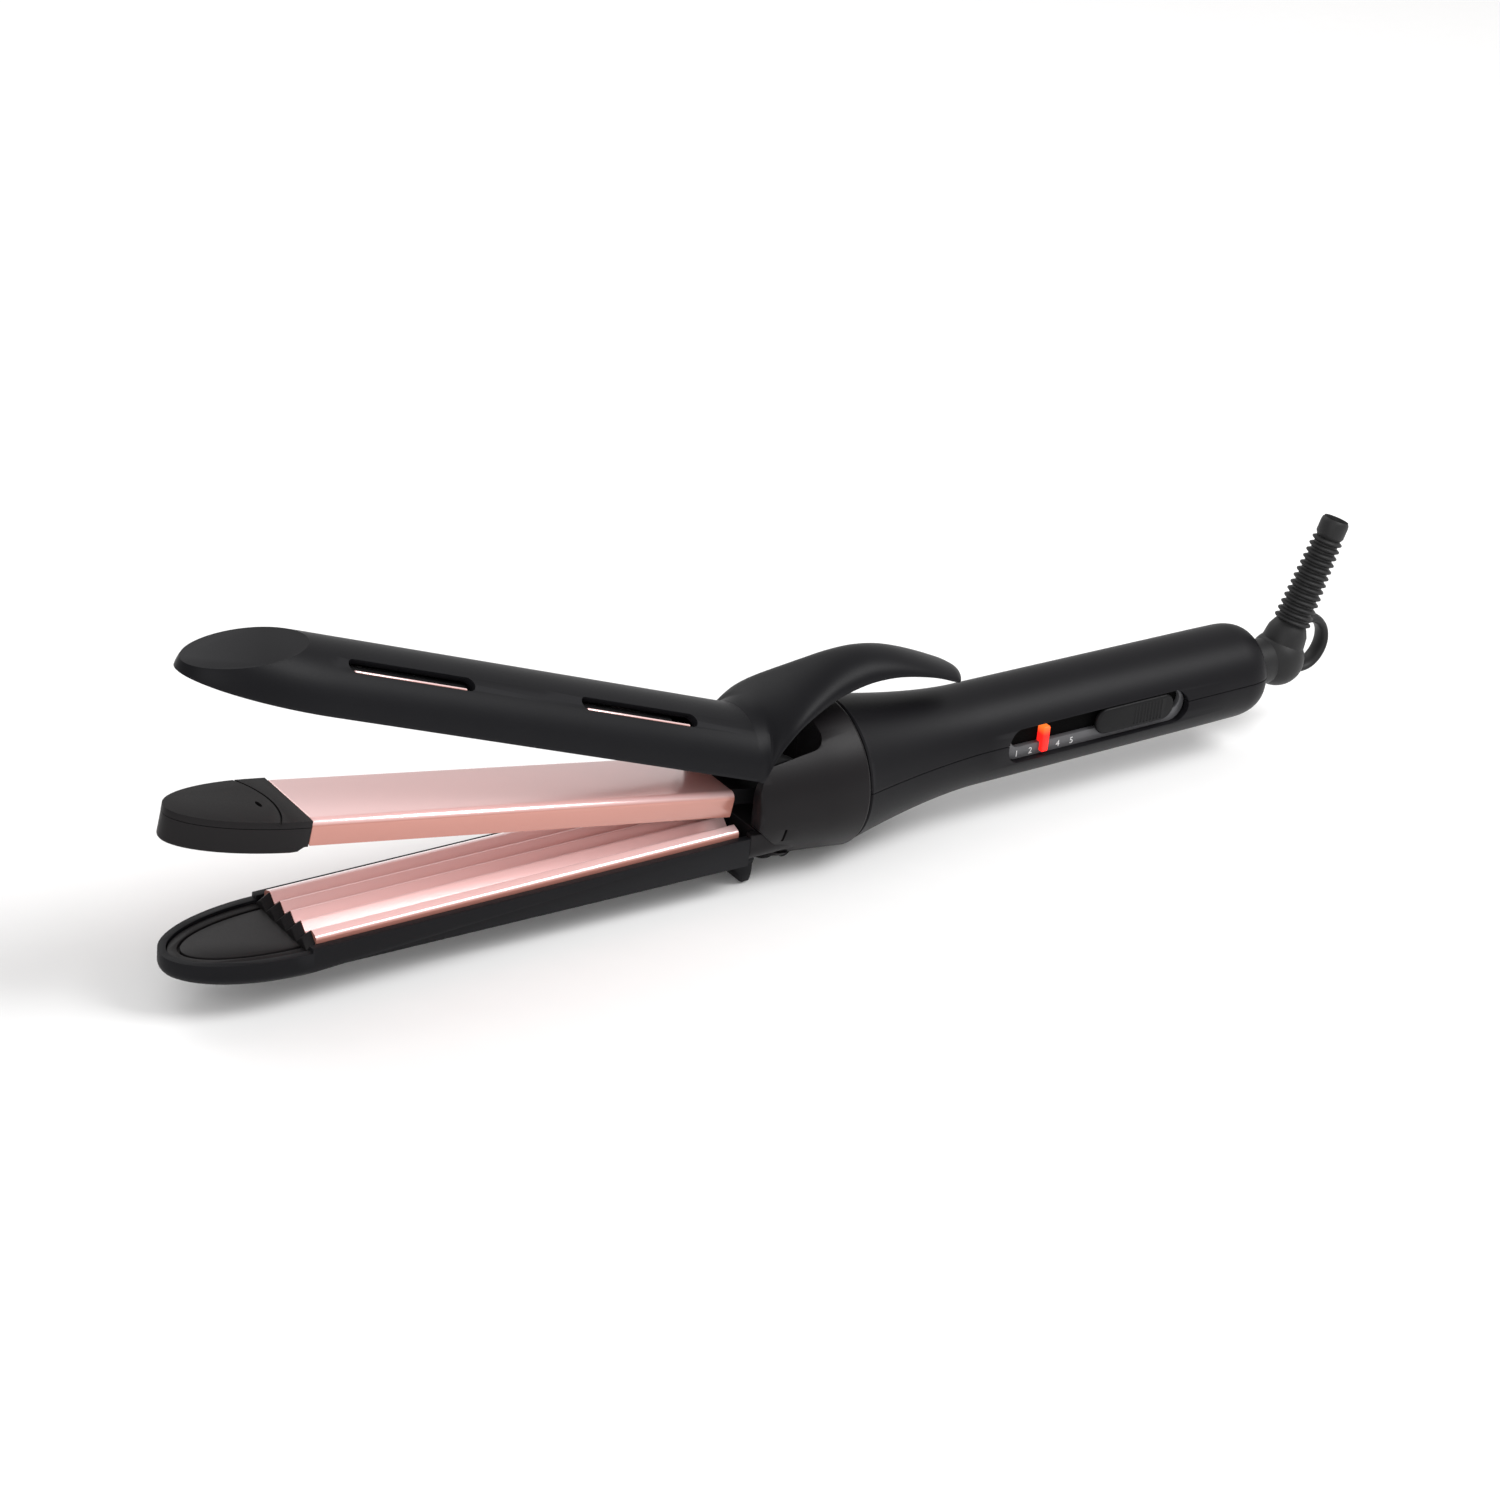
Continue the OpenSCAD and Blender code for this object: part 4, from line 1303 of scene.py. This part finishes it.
    def teeth(self, top: float) -> Piece:
        """The toothed wall that stops hair at the plate's front end.

        Args:
            top: Height of the insert's face.

        Returns:
            The wall.
        """
        front = self.plate.lo.x
        peak = self.plate.hi.z - 0.5
        half = self.plate.hi.y - 0.2
        wall = self.rows("teeth", front - 2.4, front - 0.1, peak, peak - self.fold, half)
        wall.pick_verts(lambda p: p.x < front - 2)
        wall.move((0, 0, -1.4))
        wall.pick_faces(lambda c, n: True)
        wall.extrude((0, 0, -2.0))
        wall.resize((1, 1, 0), (0, 0, top - 0.6))
        wall.outward()
        wall.soften(0.15, 2, 25)
        return wall

    def ridged_plate(self) -> None:
        """The crimping plate with rounded ridges along X."""
        box = self.plate
        peak = box.hi.z - self.plate_gap
        valley = peak - self.fold
        plate = self.rows("ridged_plate", box.lo.x, box.hi.x, peak, valley, box.hi.y)
        plate.pick_verts(lambda p: abs(p.y) > box.hi.y - 0.01)
        plate.move((0, 0, 1.3))
        plate.pick_edges(lambda a, b: abs(a.x - b.x) > 1 and abs(a.y) < box.hi.y - 0.01)
        plate.bevel(0.42, 3)
        plate.pick_faces(lambda c, n: True)
        plate.extrude((0, 0, -1.0))
        plate.resize((1, 1, 0), (0, 0, box.lo.z))
        plate.outward()
        plate.pick_edges(lambda a, b: abs(a.x - b.x) > 1 and min(a.z, b.z) > valley
                         and abs(a.y) > box.hi.y - 0.01)
        plate.bevel(0.7, 4)
        self.bench.hand_over(plate, Body.HANDLE, "rose_ceramic", ["crimp_plate"])


@dataclass
class MiddleArm:
    """The middle arm's flat-topped barrel and its nose cap."""

    bench: Bench
    round_r: float = 2.0
    tip_len: float = 30
    arc_r: float = 20.0
    arc_ahead: float = 4.6
    arc_wide: float = 0.5
    lid_deep: float = 1.7

    def build(self, lower: LowerArm) -> None:
        """Makes the barrel and the nose.

        Args:
            lower: The arm whose ridges the barrel's underside meshes with.
        """
        gauge = self.bench.gauge
        barrel = gauge.box("middle_barrel", Body.MIDDLE)
        nose = gauge.box("middle_nose", Body.MIDDLE)
        top, half = barrel.hi.z, barrel.hi.y
        valley = barrel.lo.z
        peak = valley + lower.fold
        body = lower.rows("barrel", barrel.lo.x, barrel.hi.x, peak, valley + 0.2, half)
        body.pick_faces(lambda c, n: True)
        body.extrude((0, 0, 1.0))
        body.resize((1, 1, 0), (0, 0, top))
        body.outward()
        body.pick_edges(lambda a, b: abs(a.x - b.x) > 1 and min(a.z, b.z) > top - 0.01
                        and abs(a.y) > half - 0.01)
        body.bevel(self.round_r, 8)
        body.soften(0.3, 2, 35)
        self.bench.hand_over(body, Body.MIDDLE, "rose_ceramic", ["middle_barrel"])
        self.nose(barrel, nose)

    def nose(self, barrel: Box, box: Box) -> None:
        """The nose cap: an upper lid with an arc groove and a deeper lower shell.

        Args:
            barrel: The barrel's box.
            box: The nose's box.
        """
        top, half = barrel.hi.z - 0.1, barrel.hi.y
        plan = TipPlan(barrel.lo.x - 0.12, half, box.lo.x, self.tip_len)
        split, low = top - self.lid_deep, box.lo.z
        lid = Piece.oval_plan("nose", plan, top)
        lid.extrude((0, 0, split + 0.1 - top))
        lid.outward()
        lid.pick_edges(lambda a, b: min(a.z, b.z) > top - 0.01 and max(a.x, b.x) < plan.rear - 0.01)
        lid.bevel(0.8, 4)
        centre = (plan.rear - self.arc_ahead - self.arc_r, 0, top)
        ring = Piece.rod("arc", centre, self.arc_r, 1.3, "Z", 128)
        ring.cut(Piece.rod("arc_core", centre, self.arc_r - self.arc_wide, 3, "Z", 128))
        lid.cut(ring)
        place = (plan.rear - self.arc_ahead - 4.2, -1.5, top)
        notch = Piece.rod("notch", place, 0.6, 1.8, "Z", 20)
        notch.pick_all()
        notch.resize((1, 2.4, 1), place)
        lid.cut(notch)
        lid.outward()
        base = Piece.oval_plan("nose_base", plan.inside(0.05, plan.rear), split - 0.08)
        base.extrude((0, 0, low - split + 0.08))
        base.outward()
        base.slices([plan.rear - 1.2, plan.rear - 4.4])
        base.pick_verts(lambda p: p.x > plan.rear - 1.25 and p.z < low + 0.01)
        base.move((0, 0, barrel.lo.z - low + 0.1))
        base.pick_edges(lambda a, b: max(a.z, b.z) < split - 2
                        and all(plan.on_outline(p, 0.2, 0.95) for p in (a, b)))
        base.bevel(1.5, 5)
        lid.join(base)
        self.bench.hand_over(lid, Body.MIDDLE, "nose_plastic", ["middle_nose"])


@dataclass
class UpperArm:
    """The upper arm: its arched vented shell, the thumb lever and the bridge with its ears."""

    bench: Bench
    tip_wide: float = 34
    tip_high: float = 28
    wall: float = 2.0
    vent_len: float = 34
    vents: tuple[float, float] = (-147.5, -79.5)
    facet: tuple[float, float] = (-155.5, 0.36)
    lever_round: float = 5.0
    lever_steps: int = 10
    hollow_from: float = 7.0
    lip_y: float = 9.25
    lip_r: float = 0.45
    lip_up: float = 9.3
    vent_lean: float = 52
    vent_from: tuple[float, float] = (5.2, 6.6)
    bridge_top: float = 5.9
    lever: tuple[tuple[float, float, float, float], ...] = (
        (-25.4, 2.5, 15.5, 14.8), (-23.6, 2.5, 16.4, 14.8), (-21.7, 2.5, 17.8, 14.8),
        (-21.2, 4.9, 18.2, 14.75), (-20.8, 7.3, 18.5, 14.7), (-19.9, 10.0, 19.2, 14.5),
        (-18.0, 13.7, 20.7, 14.1), (-15.6, 16.7, 22.7, 13.3), (-12.9, 19.0, 25.0, 12.3),
        (-9.0, 21.8, 28.0, 10.9), (-4.4, 24.8, 31.3, 9.5), (0.0, 27.4, 33.8, 8.8),
        (6.0, 30.3, 36.2, 8.2), (13.0, 32.6, 37.5, 8.0), (20.0, 33.8, 37.7, 7.9),
        (28.0, 34.3, 37.3, 7.6), (38.6, 33.6, 36.4, 7.0),
    )

    def build(self) -> None:
        """Makes every piece of the arm."""
        gauge = self.bench.gauge
        self.box: Box = gauge.box("upper_arm_shell", Body.UPPER)
        self.low: float = self.box.lo.z
        self.height: float = self.box.hi.z - self.low
        self.shell()
        self.bridge()

    def section(self, x: float, inset: float = 0.0) -> Station:
        """Section of the arm.

        Args:
            x: Place along the arm.
            inset: How far the section lies inside the outer surface.

        Returns:
            The section, whose upper half is the arm's.
        """
        away = x - self.box.lo.x - inset
        half = (self.box.hi.y - inset) * tip_share(away, self.tip_wide, 2.0)
        height = (self.height - inset) * tip_share(away, self.tip_high, 2.3)
        return Station(x, half, self.low, self.low + height)

    def shell(self) -> None:
        """The arched arm with its facet, vents and hollow underside, and the thumb lever."""
        tip = self.box.lo.x
        places = [tip + self.tip_wide * (i / 32) ** 2 for i in range(1, 33)]
        places += [tip + self.tip_wide + 30 * i for i in (1, 2, 3)]
        root, start = self.lever[0][0], self.lever[-1][0] - self.lever_round
        lever = [root + 0.5 * i for i in range(24)]
        lever += [lever[-1] + 1.5 * i for i in range(1, 30) if lever[-1] + 1.5 * i < start]
        lever += [start + self.lever_round * out for out, _ in quarter(self.lever_steps)[:-1]]
        arm = Piece.arch("upper_shell", self.section(places[0]))
        arm.loft([self.section(x) for x in places[1:]])
        arm.loft([self.lever_section(x) for x in lever])
        arm.outward()
        crest = self.low + self.height
        arm.slice((self.facet[0], 0, crest + 0.1), (-self.facet[1], 0, 1), clear=True)
        arm.outward()
        first = tip + self.hollow_from
        hollow = Piece.arch("hollow", self.section(first, self.wall))
        steps = (1, 2.5, 4.5, 7, 10, 14, 18, 23, 28, 34)
        hollow.loft([self.section(first + step, self.wall) for step in steps])
        hollow.loft([Station(root - 1.6, *self.section(-60, self.wall).values)])
        hollow.outward()
        hollow.slice((self.facet[0], 0, crest - self.wall), (-self.facet[1], 0, 1), clear=True)
        hollow.outward()
        hollow.pick_faces(lambda c, n: c.z < self.low + 0.01)
        hollow.extrude((0, 0, -4))
        arm.cut(hollow)
        for x in self.vents:
            for side in (-1, 1):
                arm.cut(self.vent_tool(x, side))
        arm.outward()
        arm.soften(0.5, 4, 38)
        stands_for = ["upper_arm_shell", "upper_arm_frame"]
        self.bench.hand_over(arm, Body.UPPER, "shell_plastic", stands_for, angle=17)
        self.lips()

    def lever_section(self, x: float) -> Station:
        """Section of the lever.

        Args:
            x: Place along the lever.

        Returns:
            The section, narrowed near the lever's rounded end.
        """
        under, top, half = between(self.lever, x)
        end = self.lever[-1][0]
        past = max(0.0, (x - end + self.lever_round) / self.lever_round)
        share = math.sqrt(max(0.03, 1 - past**2))
        middle, thick = (top + under) / 2, (top - under) / 2 * (0.35 + 0.65 * share)
        return Station(x, half * share, middle - thick, middle + thick)

    def vent_tool(self, start: float, side: int) -> Piece:
        """The cutter of one vent.

        Args:
            start: Where the vent starts.
            side: -1 for the near side, 1 for the far side.

        Returns:
            The cutter, which enters from above and outside.
        """
        tool = Piece.pill("vent", (start - 0.5, 0, -1.9), (start + self.vent_len + 1.5, 20, 1.9))
        out, up = self.vent_from
        lean = math.radians(self.vent_lean if side > 0 else 180 - self.vent_lean)
        return tool.place(
            Matrix.Translation((0, side * out, self.low + up)) @ Matrix.Rotation(lean, 4, "X")
        )

    def lips(self) -> None:
        """Rose strips of the inner shield that show along the lower edge of each vent."""
        for number, start in enumerate(self.vents):
            for side in (-1, 1):
                name = f"vent_lip_{number + 1}_{'near' if side < 0 else 'far'}"
                y, z = side * self.lip_y, self.low + self.lip_up
                centre = (start + self.vent_len / 2, y, z)
                lip = Piece.rod(name, centre, self.lip_r, self.vent_len - 2.0, "X", 16)
                lip.pick_all()
                lip.resize((1, 1, 1.2), (start, y, z))
                lip.soften(0.2, 2, 40)
                self.bench.hand_over(lip, Body.UPPER, "rose_ceramic")

    def bridge(self) -> None:
        """The bridge and the hinge ears, taken over from the frame without its lever."""
        Piece.clear()
        node = frame["nodes"]["upper_arm_frame"]
        node.hide_viewport = False
        node.select_set(True)
        bpy.context.view_layer.objects.active = node
        bpy.ops.object.duplicate(linked=False)
        copy = bpy.context.active_object
        copy.parent = None
        for key in list(copy.keys()):
            del copy[key]
        copy.hide_render = False
        copy.matrix_world = self.bench.gauge.pose(Body.UPPER).inverted()
        bridge = Piece("hinge_bridge")
        bridge.outward()
        keep = Piece.block("keep", (-60, -20, -10), (9, 20, self.low + self.bridge_top))
        bridge.cut(keep, "INTERSECT")
        bridge.soften(0.25, 2, 50)
        node.hide_viewport = True
        self.bench.hand_over(bridge, Body.UPPER, "structural_nylon")


@dataclass
class SlideControl:
    """The temperature slide: scale plate, marks, lit bar and thumb grip."""

    bench: Bench
    strip: float = 3.4
    mark_count: int = 5
    mark_pitch: float = 4.5
    first_mark: float = 63.2
    mark_size: float = 2.5
    mark_deep: float = 0.03
    mark_up: float = 0.75
    plate_proud: float = 0.6
    grip_deep: float = 1.55
    groove_count: int = 9
    groove_pitch: float = 1.1
    groove_r: float = 0.28

    def build(self) -> None:
        """Makes every piece in the window."""
        gauge = self.bench.gauge
        self.plate: Box = gauge.box("scale_plate")
        self.knob: Box = gauge.box("slider_knob")
        self.lens: Box = gauge.box("indicator_lens")
        self.face: float = self.plate.lo.y - self.plate_proud
        self.scale()
        self.marks()
        self.lit_bar()
        self.grip()

    def scale(self) -> None:
        """The grey plate with its long slot, and a black sheet behind the slot that paints the slot's shade."""
        lo, hi = self.plate.lo, self.plate.hi
        plate = Piece.pill("scale", (lo.x, self.face, lo.z), hi)
        plate.cut(Piece.pill("slot", (lo.x + 2.2, self.face - 2, lo.z + self.strip),
                             (hi.x - 1.6, hi.y + 2, hi.z - 0.3)))
        plate.soften(0.15, 2, 40)
        self.bench.hand_over(plate, Body.HANDLE, "scale_grey", ["scale_plate"])
        # painted shade: a black sheet just behind the slot stands in for the shade of the recess
        floor = Piece.pill("slot_shade_sheet", (lo.x + 1.9, hi.y - 0.2, lo.z + self.strip - 0.3),
                           (hi.x - 1.3, hi.y + 0.3, hi.z - 0.1))
        floor.soften(0.1, 1, 40)
        self.bench.hand_over(floor, Body.HANDLE, "knob_black", finish=SLOT_PAINTED_SHADE)

    def marks(self) -> None:
        """Numerals along the strip, one for each setting."""
        for i in range(self.mark_count):
            Piece.clear()
            bpy.ops.object.text_add()
            mark = bpy.context.active_object
            mark.data.body = str(i + 1)
            mark.data.size = self.mark_size
            mark.data.extrude = self.mark_deep
            mark.data.align_x = "CENTER"
            bpy.ops.object.convert(target="MESH")
            x = self.first_mark + self.mark_pitch * i
            place = Matrix.Translation((x, self.face - 0.03, self.plate.lo.z + self.mark_up))
            mark.matrix_world = place @ Matrix.Rotation(math.pi / 2, 4, "X")
            piece = Piece(f"scale_mark_{i + 1}")
            piece.outward()
            self.bench.hand_over(piece, Body.HANDLE, "scale_grey", finish=MARK_WHITE)

    def lit_bar(self) -> None:
        """The lit bar over the middle mark."""
        lo, hi = self.lens.lo, self.lens.hi
        shift = self.first_mark + 2 * self.mark_pitch - self.lens.mid.x - 0.6
        bar = Piece.block("lit_bar", (lo.x + shift + 0.4, lo.y, lo.z),
                          (hi.x + shift - 0.4, hi.y, hi.z - 0.4))
        bar.soften(0.5, 3, 40)
        self.bench.hand_over(bar, Body.HANDLE, "led_red", ["indicator_lens"])

    def grip(self) -> None:
        """The thumb grip with fine ribs."""
        lo, hi, middle = self.knob.lo, self.knob.hi, self.knob.mid.z
        pill = Piece.pill("thumb_grip", lo, (hi.x, lo.y + self.grip_deep, hi.z))
        pill.soften(0.7, 4, 40)
        for i in range(self.groove_count):
            place = (hi.x - 4.5 - self.groove_pitch * i, lo.y - 0.1, middle)
            pill.cut(Piece.rod("groove", place, self.groove_r, hi.z - lo.z - 2, "Z", 12))
        stem = Piece.block("stem", (hi.x - 11, lo.y + self.grip_deep - 0.2, middle - 1),
                           (hi.x - 1, hi.y, middle + 2))
        stem.soften(0.2, 2, 40)
        pill.join(stem)
        self.bench.hand_over(pill, Body.SLIDE, "knob_black", ["slider_knob"])


@dataclass
class CordBoot:
    """The elbow at the handle's end with its ball, hanging loop and ribbed boot."""

    bench: Bench
    end_gap: float = 0.45
    elbow_gap: float = 12.5
    ball_r: float = 7.6
    ball_steps: int = 17
    neck_r: float = 6.3
    lean: float = 70
    length: float = 41
    ribs: int = 13
    rib_from: float = 10.5
    rib_end: float = 5.2
    rib_depth: float = 0.95
    rib_r: float = 5.15
    rib_taper: float = 1.0
    end_r: float = 3.9
    loop: tuple[float, float, float] = (8.7, 3.0, 6.9)
    loop_wire: float = 1.25

    def build(self) -> None:
        """Makes the elbow, the boot and the loop as one rubber piece."""
        self.end: float = self.bench.gauge.box("handle_upper_shell").hi.x
        self.elbow = self.end + self.elbow_gap
        ball = self.ball()
        ball.join(self.boot(), self.hanging_loop())
        ball.obj.name = "cord_boot_rubber"
        self.bench.hand_over(ball, Body.SWIVEL, "boot_rubber", ["cord_boot"])

    def ball(self) -> Piece:
        """The neck and the ball of the elbow.

        Returns:
            The lofted ball.
        """
        start = self.end + self.end_gap
        ball = Piece.ring("elbow", round_station(start, self.neck_r - 0.5), 48)
        stations = [round_station(start + 0.5, self.neck_r)]
        join = self.elbow - math.sqrt(self.ball_r**2 - (self.neck_r - 0.2) ** 2)
        stations.append(round_station(join - 0.6, self.neck_r - 0.1))
        first = math.acos((self.elbow - join) / self.ball_r)
        for i in range(self.ball_steps + 1):
            a = first + (math.pi - 0.12 - first) * i / self.ball_steps
            x = self.elbow - self.ball_r * math.cos(a)
            stations.append(round_station(x, self.ball_r * math.sin(a)))
        ball.loft(stations)
        ball.cap()
        ball.outward()
        return ball

    def boot(self) -> Piece:
        """The tapered boot with its rings of ribs, and the cord's hole in its mouth.

        Returns:
            The boot.
        """
        pitch = (self.length - self.rib_end - self.rib_from) / self.ribs
        sections = [(2.0, 6.0), (5.0, 5.9), (8.0, 5.5), (self.rib_from - 0.8, 4.7)]
        for i in range(self.ribs):
            s, r = self.rib_from + i * pitch, self.rib_r - self.rib_taper * i / self.ribs
            core = r - self.rib_depth
            sections += [
                (s, core), (s + 0.22 * pitch, r - 0.2), (s + 0.32 * pitch, r),
                (s + 0.46 * pitch, r), (s + 0.56 * pitch, r - 0.2), (s + 0.78 * pitch, core),
            ]
        end, r = self.length, self.end_r
        sections += [
            (end - self.rib_end + 0.3, r - 0.2), (end - self.rib_end + 0.7, r), (end - 1.4, r),
            (end - 0.6, r - 0.15), (end - 0.1, r - 0.55), (end, 3.4), (end - 0.3, 3.25),
            (end - 6, 3.2),
        ]
        boot = Piece.ring("boot", round_station(0.5, 5.2), 48)
        boot.loft([round_station(s, r) for s, r in sections])
        boot.cap()
        boot.outward()
        turn = Matrix.Rotation(-math.radians(self.lean), 4, "Y")
        return boot.place(Matrix.Translation((self.elbow, 0, 0)) @ turn)

    def hanging_loop(self) -> Piece:
        """The loop behind the elbow.

        Returns:
            The loop.
        """
        x, z, radius = self.loop
        centre = (self.elbow + x, 0, z)
        Piece.clear()
        bpy.ops.mesh.primitive_torus_add(
            major_segments=48, minor_segments=16, major_radius=radius, minor_radius=self.loop_wire,
            location=centre, rotation=(math.pi / 2, 0, 0),
        )
        loop = Piece("loop")
        loop.pick_all()
        loop.resize((1, 2.0, 1.06), centre)
        loop.pick_verts(lambda p: p.x < self.elbow + 2)
        bpy.ops.mesh.delete(type="VERT")
        bpy.ops.mesh.select_mode(type="EDGE")
        bpy.ops.mesh.select_all(action="SELECT")
        bpy.ops.mesh.region_to_loop()
        bpy.ops.mesh.edge_face_add()
        loop.outward()
        return loop


@dataclass
class Carried:
    """Dresses every CAD node in its slot's finish, with a few inner ones in black: the heater leads and the heat
    shield are painted black as shade in the hinge root and the vents, and the screws are plain black.
    """

    black_and_shade_nodes: tuple[str, ...] = ("lower_heater_leads", "middle_heater_leads", "upper_heat_shield",
                                  "lower_arm_screws", "housing_screws")

    def dress(self) -> None:
        """Gives each node the finish of its material slot, or black for the listed inner ones."""
        for part in frame["record"]["subparts"]:
            node = frame["nodes"][part["node"]]
            node.data.materials.clear()
            # painted shade: the listed leads and heat shield turn black where the hinge root and the vents lie in
            # shade
            slot = "component_black" if part["node"] in self.black_and_shade_nodes else part["material_slot"]
            node.data.materials.append(FINISHES[slot].material())
        LOG.info("%d nodes dressed", len(frame["nodes"]))


@dataclass(frozen=True)
class Lamp:
    """A soft square light that faces the object, in metres and watts."""

    name: str
    way: Place
    away: float
    side: float
    power: float

    def add(self) -> None:
        """Adds the light to the stage."""
        place = Vector(self.way).normalized() * self.away
        Piece.clear()
        bpy.ops.object.light_add(type="AREA", location=place)
        light = bpy.context.active_object
        light.name = self.name
        light.rotation_euler = place.to_track_quat("Z", "Y").to_euler()
        light.data.shape = "SQUARE"
        light.data.size = self.side
        light.data.energy = self.power


@dataclass
class Studio:
    """The pale floor, the soft lights and the camera."""

    gauge: Gauge
    turn: float = 37.010
    raised: float = 27.461
    roll: float = -5.709
    aside: float = -10.450
    above: float = 6.445
    distance: float = 1048.308
    lens: float = 100.8
    sky: float = 0.68
    floor_gap: float = 0.0004
    lamps: tuple[Lamp, ...] = (
        Lamp("key", (0.55, -0.40, 0.80), 1.15, 0.55, 9.5),
        Lamp("fill", (-0.75, -0.75, 0.55), 1.3, 0.9, 4.5),
        Lamp("rim", (-0.1, 0.95, 0.75), 1.3, 0.8, 4.0),
    )

    def build(self) -> None:
        """Sets the whole stage."""
        self.camera()
        self.floor()
        self.world()
        for lamp in self.lamps:
            lamp.add()
        bpy.context.scene.view_settings.view_transform = "Standard"
        LOG.info("studio set")

    def camera(self) -> None:
        """The camera, looking down from the left front."""
        turn, rise, roll = (math.radians(a) for a in (-self.turn, self.raised, self.roll))
        back = Vector((math.sin(turn), -math.cos(turn), math.tan(rise))) * math.cos(rise)
        right = Vector((0, 0, 1)).cross(back).normalized()
        up = back.cross(right)
        across = math.cos(roll) * right - math.sin(roll) * up
        upright = math.sin(roll) * right + math.cos(roll) * up
        shift = self.distance * back + self.aside * across + self.above * upright
        place = self.gauge.pin + MM * shift
        Piece.clear()
        bpy.ops.object.camera_add(location=place)
        camera = bpy.context.active_object
        turned = Matrix((across, upright, back)).transposed().to_4x4()
        camera.matrix_world = Matrix.Translation(place) @ turned
        camera.data.lens = self.lens
        camera.data.sensor_width = 36
        camera.data.clip_start = 0.05
        bpy.context.scene.camera = camera

    def floor(self) -> None:
        """A wide pale floor just under the foot."""
        Piece.clear()
        bpy.ops.mesh.primitive_plane_add(size=12, location=(0, 0, CAD_BOX[0].z - self.floor_gap))
        floor = bpy.context.active_object
        floor.name = "floor"
        floor.data.materials.append(PALE_FLOOR.material())

    def world(self) -> None:
        """Even pale light from all round."""
        world = bpy.data.worlds.new("studio")
        world.use_nodes = True
        sky = world.node_tree.nodes["Background"]
        sky.inputs["Color"].default_value = (1.0, 0.99, 0.985, 1)
        sky.inputs["Strength"].default_value = self.sky
        bpy.context.scene.world = world


def main() -> None:
    """Builds the object's looks, sub-assembly by sub-assembly, and its studio."""
    gauge = Gauge()
    Studio(gauge).build()
    bench = Bench(gauge)
    Carried().dress()
    HandleGrip(bench).build()
    HingeHousing(bench).build()
    lower = LowerArm(bench)
    lower.build()
    MiddleArm(bench).build(lower)
    UpperArm(bench).build()
    SlideControl(bench).build()
    CordBoot(bench).build()


if __name__ == "__main__":
    main()
